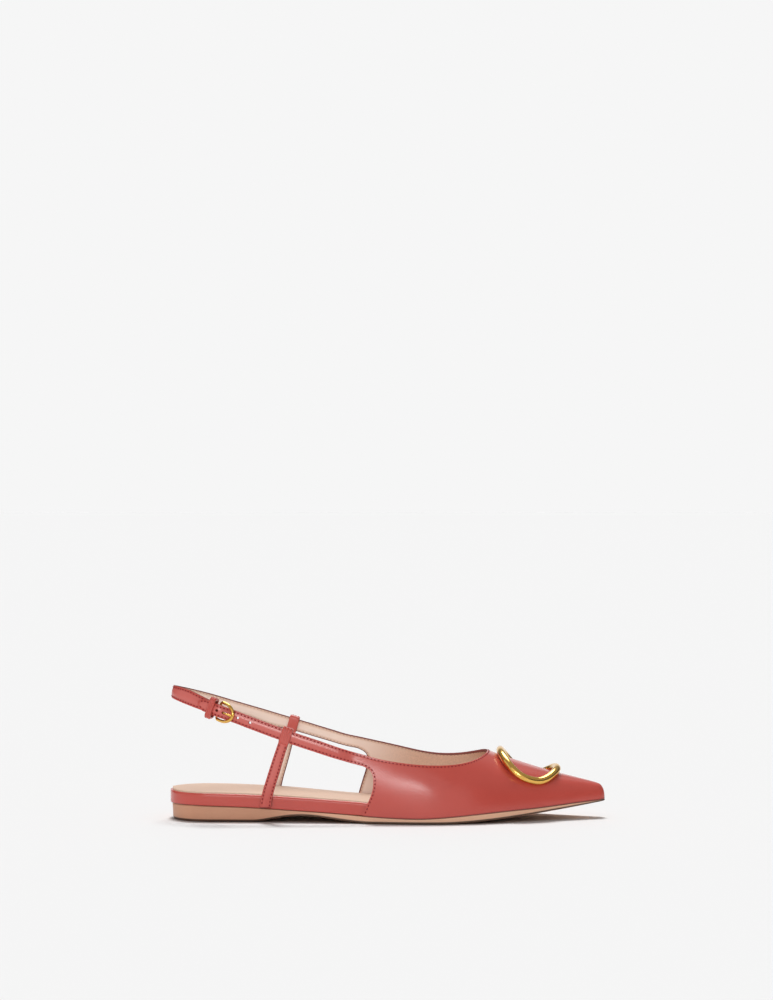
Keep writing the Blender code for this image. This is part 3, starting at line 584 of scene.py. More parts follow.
def coons(front, rear, low, high):
    """Patch between four edges: front and rear run upwards, low and high run backwards."""
    back = np.linspace(0, 1, len(low))[:, None, None]
    up = np.linspace(0, 1, len(front))[None, :, None]
    sides = (1 - back) * front[None] + back * rear[None]
    ends = (1 - up) * low[:, None] + up * high[:, None]
    corners = ((1 - back) * ((1 - up) * front[0] + up * front[-1])
               + back * ((1 - up) * rear[0] + up * rear[-1]))
    return sides + ends - corners


def quarter(side):
    """Grid of one quarter on the skin, from the vamp back to its rear edge and the sling's root."""
    front_turn = np.linspace(side, topline_turn(VAMP_REAR, side), SIDE_COLUMNS + 1)
    front = grid_of(VAMP_REAR, front_turn)
    rows = table(REAR_COLUMNS, REAR_ROWS[side])
    line = np.column_stack([rows["station"], rows["height"]])
    edge = path(line, np.linspace(0, 1, REAR_EDGE_COLUMNS + 1))
    edge = grid_of(edge[:, 0], turn_at_height(edge[:, 0], edge[:, 1], side))
    edge[0, 1] = side
    root = np.array([ROOT_STATIONS[side], topline_turn(ROOT_STATIONS[side], side)])
    share = np.linspace(0, 1, SIDE_COLUMNS - REAR_EDGE_COLUMNS + 1)[1:, None]
    rear = np.concatenate([edge, edge[-1] + (root - edge[-1]) * share])
    back = np.linspace(0, 1, QUARTER_ROWS + 1)
    low_station = VAMP_REAR + (rear[0, 0] - VAMP_REAR) * back
    low = grid_of(low_station, side)
    high_station = VAMP_REAR + (root[0] - VAMP_REAR) * back
    high = grid_of(high_station, topline_turn(high_station, side))
    patch = coons(front, rear, low, high)
    return worn_skin(patch[..., 0], patch[..., 1])


def vamp():
    """Grid of the vamp from the nose back to the throat and the fronts of the quarters."""
    ends = {side: topline_turn(VAMP_REAR, side) for side in SIDES}
    lateral = np.linspace(LATERAL, ends[LATERAL], SIDE_COLUMNS + 1)
    crown = np.linspace(ends[LATERAL], ends[MEDIAL], CROWN_COLUMNS + 1)[1:-1]
    medial = np.linspace(ends[MEDIAL], MEDIAL, SIDE_COLUMNS + 1)
    turns = np.concatenate([lateral, crown, medial])
    backward = np.linspace(VAMP_REAR, THROAT, TOPLINE_SAMPLES)
    rear = np.full_like(turns, VAMP_REAR)
    for side in SIDES:
        curve = np.abs(topline_turn(backward, side))[::-1]
        inside = (np.sign(turns) == side) & (np.abs(turns) < abs(ends[side]))
        rear[inside] = np.interp(np.abs(turns[inside]), curve, backward[::-1])
    rear[turns == 0] = THROAT
    shares = np.linspace(0, 1, NOSE_ROWS)**NOSE_ROWS_POWER
    stations = LENGTH - (LENGTH - rear)[None, :] * shares[:, None]
    return worn_skin(stations, np.broadcast_to(turns, stations.shape))


class Sling:
    """Strap round the heel: its upper edge, its cross direction and its own axes at a place."""

    def __init__(self):
        self.quarters = {side: quarter(side) for side in SIDES}
        ends = [self.quarters[side][-1, -1] for side in SIDES]
        rows = table(SLING_COLUMNS, SLING_ROWS)
        between = np.column_stack([rows["station"], rows["side"], rows["top"]])
        knots = np.concatenate([ends[:1], between, ends[1:]])
        self.curve = path(knots, np.linspace(0, 1, CURVE_SAMPLES))
        self.length = run_of(self.curve)

    def at_station(self, station, side):
        """Distance along the sling, from its lateral root, at a station on one side."""
        back = np.argmin(self.curve[:, 0])
        if side < 0:
            return np.interp(-station, -self.curve[:back, 0], self.length[:back])
        return np.interp(station, self.curve[back:, 0], self.length[back:])

    def top(self, distance):
        """Point of the upper edge."""
        return read_line(self.curve, self.length, distance)

    def cross(self, distance):
        """From the lower to the upper edge: along the quarter at the roots, leaning evenly between them."""
        even = STRAP_WIDTH * np.array([np.sin(STRAP_LEAN), 0, np.cos(STRAP_LEAN)])
        first, second = (self.quarters[side][-1] for side in SIDES)
        near = 1 - ease(0, ROOT_BLEND, distance)[..., None]
        far = ease(self.length[-1] - ROOT_BLEND, self.length[-1], distance)[..., None]
        lateral = first[-1] - first[REAR_EDGE_COLUMNS]
        medial = second[-1] - second[REAR_EDGE_COLUMNS]
        return even + near * (lateral - even) + far * (medial - even)

    def axes(self, distance):
        """Middle of the outer face and the axes along (towards the lateral root), up and out."""
        along = unit(self.top(distance - HALF_STEP) - self.top(distance + HALF_STEP))
        cross = self.cross(distance)
        up = square_to(cross, along)
        out = np.cross(along, up)
        return self.top(distance) - cross / 2, along, up, out

    def band(self, distance, narrowing, lift, sag, rise, side):
        """Grid of strap from its root, lower to upper edge, its middle puffed out between the seams.

        The lift moves the strap out, the sag draws its lower edge down and the rise its upper edge up.
        It leaves the quarter with the quarter's own bow and slope.
        """
        before, first_row = self.quarters[side][-2:, REAR_EDGE_COLUMNS:]
        share = np.linspace(0, 1, first_row.shape[0])[None, :, None]
        middle, _, up, out = self.axes(distance)
        middle = middle + lift[:, None] * out
        cross = self.cross(distance) * narrowing[:, None]
        spread = share * rise[:, None, None] - (1 - share) * sag[:, None, None]
        rows = middle[:, None] + (share - 0.5) * cross[:, None] + spread * up[:, None]
        away = np.abs(distance - distance[0])
        puff = STRAP_PUFF * ease(0, ROOT_BLEND, away)[:, None, None] * np.sin(np.pi * share)**2
        rows = rows + puff * out[:, None]
        rows = rows + (1 - ease(0, ROOT_BLEND, away))[:, None, None] * (first_row - rows[0])
        slope = np.sum((unit(first_row - before) - unit(rows[1] - rows[0])) * out[0], -1)
        carried = away * (1 - ease(0, SLOPE_BLEND, away))
        rows = rows + carried[:, None, None] * slope[None, :, None] * out[:, None]
        rows[0] = first_row
        return rows


SLING = Sling()
BAR_PLACE = SLING.at_station(BAR_STATION, LATERAL)


def in_strap_axes(distance, points):
    """Points given along, up and out in the strap's own axes at a place on the sling."""
    middle, along, up, out = SLING.axes(np.float64(distance))
    return middle + points[..., :1] * along + points[..., 1:2] * up + points[..., 2:3] * out


def arms():
    """Grids of the two sling arms, each from its quarter to its free end."""
    tip = SLING.at_station(STRAP_TIP, LATERAL)
    out_run = np.linspace(0, tip, LATERAL_ARM_ROWS)
    narrowing = 1 - (1 - TIP_NARROWEST) * np.clip((out_run - tip + TIP_TAPER) / TIP_TAPER, 0, 1)**2
    along = np.clip(BAR_PLACE - out_run, LIFT["along"][0], LIFT["along"][-1])
    lift = spline(LIFT["along"], LIFT["lift"], along)
    lateral = SLING.band(out_run, narrowing, lift, 0 * lift, 0 * lift, LATERAL)
    inner_run = np.linspace(SLING.length[-1], BAR_PLACE + BACK_STRAP_END, MEDIAL_ARM_ROWS)
    level = np.zeros(MEDIAL_ARM_ROWS)
    off = (inner_run - SLING.at_station(SAG_STATION, MEDIAL)) / SAG_REACH
    sag = SAG_DEPTH * np.exp(-off**2)
    off = (inner_run - SLING.at_station(RISE_STATION, LATERAL)) / RISE_REACH
    rise = RISE_HEIGHT * np.exp(-off**2)
    medial = SLING.band(inner_run, level + 1, level, sag, rise, MEDIAL)
    return lateral, medial


def bottom_stations(end, finest):
    """Stations from heel to toe, closer together where the outline rounds."""
    heel = HEEL_ROUND * (1 - np.cos(np.linspace(HEEL_FIRST, np.pi / 2, HEEL_STEPS)))
    run = np.linspace(HEEL_ROUND, end - finest, BOTTOM_STEPS)[1:]
    toe = end - finest * (1 - np.sin(np.linspace(0.0, np.pi / 2 - TOE_LAST, TOE_STEPS)))[1:]
    return np.concatenate([heel, run, toe])


def sections(stations, profile):
    """Closed sections along the stations: the profile gives shift, half width and height, top to bottom."""
    sides = [profile(stations, side) for side in (MEDIAL, LATERAL)]
    right = [grid_of(stations + shift, width, height) for shift, width, height in sides[0]]
    left = [grid_of(stations + shift, -width, height) for shift, width, height in sides[1]]
    return np.stack(right + left[::-1], 1)


def outsole_profile(stations, side):
    """Sole section: top at the feather line, wall set back and tapering at the heel.

    Below the wall a flat quarter oval leads in to the tread, so the sole's edge stands a little
    off the floor.
    """
    flare = (WALL + FIT) * ease(SOLE_FLARE_START, SOLE_FLARE_END, stations)
    front = blunt(stations, LENGTH, NOSE, NOSE_POWER)
    width = (half_width(stations, side) + flare) * front
    high = bottom("feather", stations)
    low = tread(stations)
    heel = 1 - ease(HEEL_TREAD_END, SOLE_FLARE_START, stations)
    back = np.clip(1 - stations / HEEL_ROUND, 0, 1)
    step = HEEL_STEP * heel
    taper = HEEL_TAPER * heel
    edge = np.minimum(TREAD_BEVEL, TREAD_BEVEL_SHARE * (high - low))
    top = np.maximum(width - step * (1 - back), width * NARROWEST_WALL)
    rows = [(step * back, top * share, high) for share in np.linspace(CORE_SHARE, 1, FLAT_STEPS)[:-1]]
    for share in np.linspace(0, 1, ROUND_STEPS):
        inset = step + (taper - step) * share
        wall = np.maximum(width - inset * (1 - back), width * NARROWEST_WALL)
        rows.append((inset * back, wall, high + (low + edge - high) * share))
    wall = np.maximum(width - taper * (1 - back), width * NARROWEST_WALL)
    reach = np.minimum(TREAD_LIFT_REACH, wall * TREAD_LIFT_SHARE)
    for turn in np.linspace(0, np.pi / 2, ROUND_STEPS)[1:]:
        inward = reach * (1 - np.cos(turn))
        floor = np.maximum(wall - inward * (1 - back) * front, wall * NARROWEST_WALL)
        rows.append(((taper + inward) * back, floor, low + edge * (1 - np.sin(turn))))
    shift, floor, level = rows[-1]
    rows.extend((shift, floor * share, level) for share in np.linspace(1, CORE_SHARE, FLAT_STEPS)[1:])
    return rows


def footbed_profile(stations, side):
    """Footbed section: upright wrapped rim, rounded at its lip and turned in below, flat under the insole."""
    inset = BED_INSET * ease(BED_INSET_START, BED_INSET_END, stations)
    width = (half_width(stations, side) - inset) * blunt(stations, BED_TOE, BED_TOE_ROUND, NOSE_POWER)
    high = rim(stations, side, 1.0)
    low = bottom("feather", stations) + FIT
    lip = np.minimum(RIM_ROUND, width * RIM_ROUND_SHARE)
    under = np.minimum(RIM_TURN_IN, lip)
    straight = high - RIM_ROUND - low - RIM_TURN_IN
    turns = np.linspace(0, np.pi / 2, ROUND_STEPS)
    rows = [((width - lip) * BED_CORE_SHARE, high)]
    for turn in turns[::-1]:
        rows.append((width - lip * (1 - np.cos(turn)), high - RIM_ROUND * (1 - np.sin(turn))))
    for share in np.linspace(0, 1, ROUND_STEPS)[1:]:
        rows.append((width, high - RIM_ROUND - straight * share))
    for turn in turns[1:]:
        rows.append((width - under * (1 - np.cos(turn)), low + RIM_TURN_IN * (1 - np.sin(turn))))
    return [(0 * stations, across, height) for across, height in rows]


def insole_profile(stations, side):
    """Insole section: gently domed towards the heel, its edge rounded down to the footbed."""
    outline = half_width(stations, side) * blunt(stations, INSOLE_TOE, BED_TOE_ROUND, NOSE_POWER)
    back = np.clip(1 - stations / HEEL_ROUND, 0, 1)
    inset = INSOLE_INSET + BED_INSET * ease(BED_INSET_START, BED_INSET_END, stations)
    width = np.maximum(outline - inset * (1 - back), outline * INSOLE_NARROWEST)
    dome = INSOLE_DOME * (1 - ease(BALL_START, BALL_END, stations))
    rows = []
    for share in np.sin(np.linspace(CORE_SHARE, np.pi / 2, 2 * FLAT_STEPS)):
        round_off = np.sqrt(np.clip(1 - share**INSOLE_ROUND_POWER, 0, 1))
        lifted = rim(stations, side, share) + FIT + INSOLE_EDGE * round_off + dome * (1 - share**2)
        lifted = lifted - INSOLE_TUCK * share**INSOLE_TUCK_POWER
        rows.append((inset * back, width * share, lifted))
    return rows


def tube(points, reference, radius, closed):
    """Round rod along points: circles of the radius square to the path, turned by a reference direction."""
    if closed:
        tangent = unit(np.roll(points, -1, axis=0) - np.roll(points, 1, axis=0))
    else:
        tangent = unit(np.gradient(points, axis=0))
    side = unit(np.cross(tangent, reference))
    up = np.cross(side, tangent)
    turns = once_round(TUBE_SIDES)[None, :, None]
    radius = np.broadcast_to(radius, len(points))[:, None, None]
    rings = points[:, None] + radius * (np.cos(turns) * side[:, None] + np.sin(turns) * up[:, None])
    return np.concatenate([rings, rings[:1]]) if closed else rings


def oblong(height, depth, corner, steps):
    """Outline of a rectangle with round corners, as height and depth."""
    turns = np.linspace(0, np.pi / 2, steps)
    bend = corner * np.stack([np.sin(turns), np.cos(turns)], -1)
    right = bend + np.array([height / 2 - corner, depth / 2 - corner])
    left = right[::-1] * np.array([1, -1])
    return np.concatenate([right, left, -right, -left])


def loop(distance, shift, height, depth, length, wall, ridges, lowest):
    """Leather loop round the strap: an oblong wall, swept once round from inside to outside and back.

    Ridges are soft bells along the loop's length that stand out of its outer face above a
    share of its height.
    """
    along = np.linspace(-length / 2, length / 2, LOOP_STEPS)
    inner = oblong(height, depth, SLEEVE_CORNER, LOOP_CORNER_STEPS)
    outer = oblong(height + 2 * wall, depth + 2 * wall, SLEEVE_CORNER + wall, LOOP_CORNER_STEPS)
    round_off = wall / 2 * (1 - np.sqrt(np.clip(1 - (2 * along / length)**LOOP_ROUND_POWER, 0, 1)))
    above = ease(lowest - RIDGE_FADE, lowest + RIDGE_FADE, inner[:, 0] / height)
    front = ease(0, depth / 2, inner[:, 1]) * above
    rise = -round_off[:, None]
    for place, reach, amount in ridges:
        rise = rise + amount * front * np.exp(-((along - place) / reach)**2)[:, None]
    skin_rows = inner[None] + (1 + rise / wall)[..., None] * (outer - inner)[None]
    lining_rows = np.broadcast_to(inner, skin_rows.shape)[::-1]
    rows = np.concatenate([skin_rows, lining_rows, skin_rows[:1]])
    places = np.concatenate([along, along[::-1], along[:1]])
    return in_strap_axes(distance, grid_of(places[:, None], rows[..., 0], rows[..., 1] + shift))


def side_strap(side):
    """Grid of a side strap: rows from its sleeve down to the sole's edge, columns across its width."""
    place = SLING.at_station(SLEEVE_STATIONS[side], side)
    middle, along, up, out = SLING.axes(place)
    below = STRAP_WIDTH / 2 + SLEEVE_CLEARANCE + SLEEVE_WALL / 2
    start = middle - out * WALL / 2 - below * up
    rows = table(SIDE_STRAP_COLUMNS, SIDE_STRAP_ROWS[side])
    foot = rows["station"][-1]
    reach = half_width(foot, side) + FIT + SIDE_STRAP_THICKNESS / 2
    fall = (start[2] - rows["height"]) / (start[2] - rows["height"][-1])
    across = start[1] + (side * reach - start[1]) * ease(0, SIDE_STRAP_SETTLE, fall)
    knots = np.concatenate([[start], np.column_stack([rows["station"], across, rows["height"]])])
    share = np.linspace(0, 1, STRAP_STEPS)
    line = path(knots, share)
    flare = half_width(foot + HALF_STEP, side) - half_width(foot - HALF_STEP, side)
    level = np.array([1.0, side * flare, 0.0]) * SIDE_STRAP_WIDTH / 2
    tilted = along * np.sign(along[0]) * (SLEEVE_LENGTH / 2 - SLEEVE_MARGIN)
    width = tilted + ease(0, SIDE_STRAP_TWIST, share)[:, None] * (level - tilted)
    columns = np.linspace(-1, 1, STRAP_COLUMNS)
    grid = line[:, None] + columns[None, :, None] * width[:, None]
    puff = STRAP_PUFF * np.cos(columns * np.pi / 2)**2
    out_of_foot = unit(np.cross(np.gradient(line, axis=0), width)) * side
    out_of_foot = out_of_foot * np.sign(out_of_foot[..., 1:2] * side)
    return grid + (SIDE_STRAP_THICKNESS / 2 + puff[None, :, None]) * out_of_foot[:, None]


def row_of_stitches(edge, inside, outward, inset, depth):
    """Places and directions of a seam's stitches, an even pitch apart, set in from an edge."""
    tangent = unit(np.gradient(edge, axis=0))
    inward = square_to(inside - edge, tangent)
    normal = np.cross(tangent, inward)
    normal = normal * np.sign(np.sum(normal * outward, -1, keepdims=True))
    line = edge + inset * inward + depth * normal
    run = run_of(line)
    places = np.arange(STITCH_PITCH, run[-1] - STITCH_PITCH / 2, STITCH_PITCH)
    middle, along, out = (read_line(values, run, places) for values in (line, tangent, normal))
    return middle, unit(along), unit(out)


def stitches(rows, length, thickness):
    """Threads of all seams: each a small flat bar whose thickness follows a half circle."""
    middle, tangent, normal = (np.concatenate(part)[:, None, None] for part in zip(*rows))
    side = np.cross(tangent, normal)
    turns = once_round(STITCH_SIDES)[None, None, :, None]
    along = STITCH_SHAPE[None, :, None, None]
    thick = thickness / 2 * np.sqrt(1 - along**2)
    points = (middle + length / 2 * along * tangent
              + thick * (np.cos(turns) * side + STITCH_FLATNESS * np.sin(turns) * normal))
    return list(points)


def hole_tools():
    """Closed cutting tools: the strap's round holes, the one that the prong draws long, and a blind one.

    Each is an outline, round or long with round ends, between two levels out of the strap.
    """
    turns = once_round(HOLE_SIDES)
    cos, sin = np.cos(turns), np.sin(turns)
    wide = PRONG_RADIUS + PRONG_SLOT_SPARE
    straight = (PRONG_SLOT_END - PRONG_SLOT_START) / 2 - wide
    slot = (PRONG_SLOT_START + PRONG_SLOT_END) / 2 + straight * np.sign(cos) + wide * cos

    def tool(place, along, up, top, low):
        return in_strap_axes(place, grid_of(along, up, np.array([[top], [low]])))

    round_hole = HOLE_RADIUS * cos, HOLE_RADIUS * sin, HOLE_TOP
    tools = [tool(SLING.at_station(station, LATERAL), *round_hole, HOLE_BOTTOM) for station in HOLE_STATIONS]
    tools.append(tool(BAR_PLACE, slot, wide * sin, 3 * WALL, BAR_DEPTH))
    # The blind hole's floor takes the dark edge colour, a painted shade for the depth below it
    tools.append(tool(BAR_PLACE, *round_hole, BLIND_HOLE_FLOOR))
    return tools


def bar_roll(sign):
    """Strap end rolled round the buckle's bar: a short thick ring above or below the prong."""
    turns = once_round(ROLL_SIDES)
    radii = np.array([ROLL_BORE, ROLL_RADIUS, ROLL_RADIUS, ROLL_BORE, ROLL_BORE])[:, None]
    ups = sign * (ROLL_SLOT + ROLL_LENGTH) / 2 + ROLL_LENGTH / 2 * np.array([1, 1, -1, -1, 1])[:, None]
    return in_strap_axes(BAR_PLACE, grid_of(radii * np.cos(turns), ups, BAR_DEPTH - radii * np.sin(turns)))


def buckle_frame():
    """D-shaped frame: rod along a straight bar, round corners and a half oval, rising away from the strap."""
    straight = FRAME_HALF_HEIGHT - FRAME_CORNER
    ups = np.linspace(-straight, straight, FRAME_BAR_STEPS)[1:-1]
    turns = np.linspace(0, np.pi / 2, FRAME_CORNER_STEPS)
    corner = FRAME_CORNER * grid_of(1 - np.cos(turns), np.sin(turns)) + np.array([0, straight])
    turns = np.linspace(np.pi / 2, -np.pi / 2, FRAME_ARC_STEPS)
    arc_along = FRAME_STRAIGHT + (FRAME_REACH - FRAME_STRAIGHT) * np.cos(turns)
    arc = grid_of(arc_along, FRAME_HALF_HEIGHT * np.sin(turns))
    plan = np.concatenate([grid_of(0 * ups, ups), corner, arc, corner[::-1] * np.array([1, -1])])
    rise = BAR_DEPTH + FRAME_TILT_RISE * plan[:, 0] / FRAME_REACH
    radius = BAR_RADIUS + (FRAME_RADIUS - BAR_RADIUS) * ease(0, FRAME_CORNER, plan[:, 0])
    points = in_strap_axes(BAR_PLACE, np.column_stack([plan, rise]))
    return tube(points, SLING.axes(BAR_PLACE)[3], radius, True)


def buckle_prong():
    """Prong: rod hooked round the bar, then straight to its rest on the frame, both ends rounded off."""
    eye = BAR_RADIUS + FIT + PRONG_RADIUS
    turns = np.linspace(PRONG_EYE_START, PRONG_EYE_END, PRONG_EYE_STEPS)
    hook = grid_of(eye * np.cos(turns), 0 * turns, BAR_DEPTH + eye * np.sin(turns))
    tip = np.array([PRONG_TIP, 0, BAR_DEPTH + FRAME_TILT_RISE + FRAME_RADIUS + FIT + PRONG_RADIUS])
    run = np.linspace(0, 1, PRONG_SHANK_STEPS)[1:, None]
    line = np.concatenate([hook, hook[-1] + run * (tip - hook[-1])])
    count = np.arange(len(line))
    from_end = np.minimum(count, count[::-1]) / PRONG_END_STEPS
    radius = PRONG_RADIUS * np.sqrt(np.clip(from_end, PRONG_BLUNT, 1))
    return tube(in_strap_axes(BAR_PLACE, line), SLING.axes(BAR_PLACE)[2], radius, False)


def fuller(value):
    """Cosine or sine of an oval with fuller corners."""
    return np.sign(value) * np.abs(value)**RING_SQUARENESS


def vamp_ring():
    """Ring of round rod on the vamp: an oval that narrows with the shoe, just clear of the skin."""
    turns = once_round(RING_STEPS)
    station = RING_STATION + RING_HALF_LENGTH * fuller(np.cos(turns))
    narrowing = (half_width(station, LATERAL) / half_width(RING_STATION, LATERAL))**RING_NARROWING
    turn = turn_across(station, RING_SIDE + RING_HALF_WIDTH * narrowing * fuller(np.sin(turns)))
    outward = skin_normal(station, turn)
    return tube(skin(station, turn) + outward * (RING_RADIUS + FIT), outward, RING_RADIUS, True)


def joined(*parts):
    """Lines end to end, each after the first without its first point."""
    return np.concatenate([parts[0], *(part[1:] for part in parts[1:])])


def top_seam(front, arm, step):
    """The line along the topline and the sling's upper edge, a number of columns in from the edge."""
    in_from = -1 - step
    return joined(arm[LATERAL][::-1, in_from], SLING.quarters[LATERAL][::-1, in_from], front[in_from, CROWN],
                  SLING.quarters[MEDIAL][:, in_from], arm[MEDIAL][:, in_from])


def low_seam(side, arm, step):
    """The line along the sling's lower edge and down the quarter's rear edge."""
    return joined(arm[side][::-1, step], SLING.quarters[side][-1 - step, REAR_EDGE_COLUMNS::-1])


def strap_sheen(arm):
    """Share of a strap's painted sheen along an arm: none at its root, all of it soon after."""
    return ease(0, STRAP_SHEEN_RUN, np.linalg.norm(arm[:, :1] - arm[:1, :1], axis=2))


def faces_of(quads):
    """Quads with four corners stay, those with two corners in one place become triangles."""
    same = quads == np.roll(quads, -1, axis=1)
    count = same.sum(1)
    thin = quads[count == 1]
    triangles = thin[~same[count == 1]].reshape(-1, 3)
    return quads[count == 0].tolist() + triangles.tolist()


def distance_to(points, lines):
    """Distance of each point to the nearest point of some lines, or far where there are none."""
    if lines is None:
        return np.full(len(points), FAR_FROM_EDGE)
    lines = np.concatenate(lines)
    parts = np.array_split(points, 1 + len(points) // POINTS_AT_ONCE)
    return np.concatenate([np.linalg.norm(part[:, None] - lines[None], axis=2).min(1) for part in parts])


def piece(name, grids, materials, node, ring=False, caps=False, edges=None, seats=None, strap=None):
    """One object from grids of points in millimetres: neighbours make quads, equal places become one point.

    A cap is a ladder of quads between the two halves of an end row.
    Each point keeps its distance to the edges (edge_mm), to the lines where the piece sits on the sole
    (seat_mm), and its share of a strap's painted sheen, 0 to 1, as given for each grid (strap).
    """
    quads, start = [], 0
    for grid in grids:
        index = start + np.arange(grid.shape[0] * grid.shape[1]).reshape(grid.shape[:2])
        start += index.size
        if caps:
            for end in (index[0], index[-1][::-1]):
                near, far = end[:len(end) // 2], end[len(end) // 2:][::-1]
                quads.append(np.stack([near[:-1], near[1:], far[1:], far[:-1]], -1))
        if ring:
            index = np.concatenate([index, index[:, :1]], 1)
        corners = (index[:-1, :-1], index[1:, :-1], index[1:, 1:], index[:-1, 1:])
        quads.append(np.stack(corners, -1).reshape(-1, 4))
    points = np.concatenate([grid.reshape(-1, 3) for grid in grids])
    rounded = np.round(points, WELD_DECIMALS)
    _, first, which = np.unique(rounded, axis=0, return_index=True, return_inverse=True)
    points = points[first]
    which = which.ravel()
    faces = faces_of(which[np.concatenate(quads)])
    mesh = bpy.data.meshes.new(name)
    mesh.from_pydata((points - np.array([HEEL_CENTRE, 0, 0])) * MM, [], faces)
    mesh.polygons.foreach_set("use_smooth", np.ones(len(faces), bool))
    shares = zip(grids, strap or [0.0] * len(grids))
    shares = np.concatenate([np.broadcast_to(share, grid.shape[:2]).ravel() for grid, share in shares])
    values = {"edge_mm": distance_to(points, edges), "seat_mm": distance_to(points, seats),
              "strap": shares[first]}
    for key, value in values.items():
        mesh.attributes.new(key, "FLOAT", "POINT").data.foreach_set("value", value)
    for material in materials:
        mesh.materials.append(material)
    item = placed(name, mesh)
    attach(item, "root")
    if node:
        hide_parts(node)
    return item


def wall(item, thickness):
    """Gives an outer face its thickness inwards, lining on the inside, with soft edges."""
    shell = item.modifiers.new("Wall", "SOLIDIFY")
    shell.thickness = thickness * MM
    shell.offset = -1.0
    shell.use_even_offset = True
    shell.material_offset = 1
    shell.material_offset_rim = 2
    soft = item.modifiers.new("Edges", "BEVEL")
    soft.width = EDGE_BEVEL * MM
    soft.segments = EDGE_BEVEL_STEPS
    soft.limit_method = "ANGLE"
    soft.angle_limit = EDGE_BEVEL_ANGLE


def punch(item, grids):
    """Cuts closed tools out of a piece and keeps the result as its mesh."""
    tools = piece(item.name + "_tools", grids, [], None, ring=True, caps=True)
    # Cut faces take the third material, the dark edge paint; on the blind hole's floor it is painted shade
    tools.data.polygons.foreach_set("material_index", np.full(len(tools.data.polygons), 2))
    cut = item.modifiers.new("Holes", "BOOLEAN")
    cut.object = tools
    cut.operation = "DIFFERENCE"
    cut.solver = "EXACT"
    bpy.context.view_layer.update()
    evaluated = item.evaluated_get(bpy.context.evaluated_depsgraph_get())
    mesh = bpy.data.meshes.new_from_object(evaluated)
    item.modifiers.clear()
    item.data = mesh
    bpy.data.objects.remove(tools)


def linear(hex_colour):
    """sRGB hex value as linear colour with alpha."""
    value = np.array([int(hex_colour[i:i + 2], 16) for i in (1, 3, 5)]) / 255
    value = np.where(value <= 0.04045, value / 12.92, ((value + 0.055) / 1.055)**2.4)
    return (*value.tolist(), 1.0)


def feed(tree, made, **inputs):
    """Links or sets a node's sockets, which are named with _ for a space or by number."""
    for key, value in inputs.items():
        socket = made.inputs[int(key[1:])] if key[1:].isdigit() else made.inputs[key.replace("_", " ")]
        if isinstance(value, bpy.types.NodeSocket):
            tree.links.new(value, socket)
        else:
            socket.default_value = value


def node(tree, kind, settings=None, **inputs):
    """Adds a node, sets its own settings and feeds its sockets."""
    made = tree.nodes.new(kind)
    for key, value in (settings or {}).items():
        setattr(made, key, value)
    feed(tree, made, **inputs)
    return made


def per_mm(size):
    """Texture scale at which a pattern's cell has a size in millimetres."""
    return 1 / (size * MM)


def on_object(tree):
    """Place on the object."""
    return node(tree, "ShaderNodeTexCoord").outputs["Object"]


def noise(tree, place, size, detail):
    """Cloudy pattern from 0 to 1 with cells of a size in millimetres."""
    return node(tree, "ShaderNodeTexNoise", Vector=place, Scale=per_mm(size), Detail=detail).outputs["Fac"]


def kept(tree, name):
    """A value that the piece keeps at its points."""
    return node(tree, "ShaderNodeAttribute", {"attribute_name": name}).outputs["Fac"]


def forward(tree, place):
    """How far forward a place lies."""
    return node(tree, "ShaderNodeSeparateXYZ", Vector=place).outputs["X"]


def ranged(tree, value, start, end, low, high, kind="LINEAR"):
    """Value mapped evenly, or in a smooth step, from start and end to low and high."""
    return node(tree, "ShaderNodeMapRange", {"interpolation_type": kind}, Value=value, From_Min=start,
                From_Max=end, To_Min=low, To_Max=high).outputs[0]


def smooth(tree, value, start, end, low=0.0, high=1.0):
    """Smooth step of a value, low at start and high at end."""
    return ranged(tree, value, start, end, low, high, "SMOOTHSTEP")


def combined(tree, operation, *values):
    """Result of an arithmetic operation on values."""
    inputs = {f"_{place}": value for place, value in enumerate(values)}
    return node(tree, "ShaderNodeMath", {"operation": operation}, **inputs).outputs[0]


def mixed(tree, share, first, second, kind="MIX"):
    """Colour on the way from a first to a second one."""
    return node(tree, "ShaderNodeMix", {"data_type": "RGBA", "blend_type": kind}, _0=share, _6=first,
                _7=second).outputs[2]


def toned(tree, colour, factor):
    """Colour times a factor."""
    return mixed(tree, 1.0, colour, factor, "MULTIPLY")


def relief(tree, height, strength, depth):
    """Normal of a height pattern whose depth is in millimetres."""
    bump = node(tree, "ShaderNodeBump", Strength=strength, Distance=depth * MM, Height=height)
    return bump.outputs["Normal"]


def material(name):
    """New material with its node tree and its shader."""
    made = bpy.data.materials.new(name)
    made.use_nodes = True
    return made, made.node_tree, made.node_tree.nodes["Principled BSDF"]


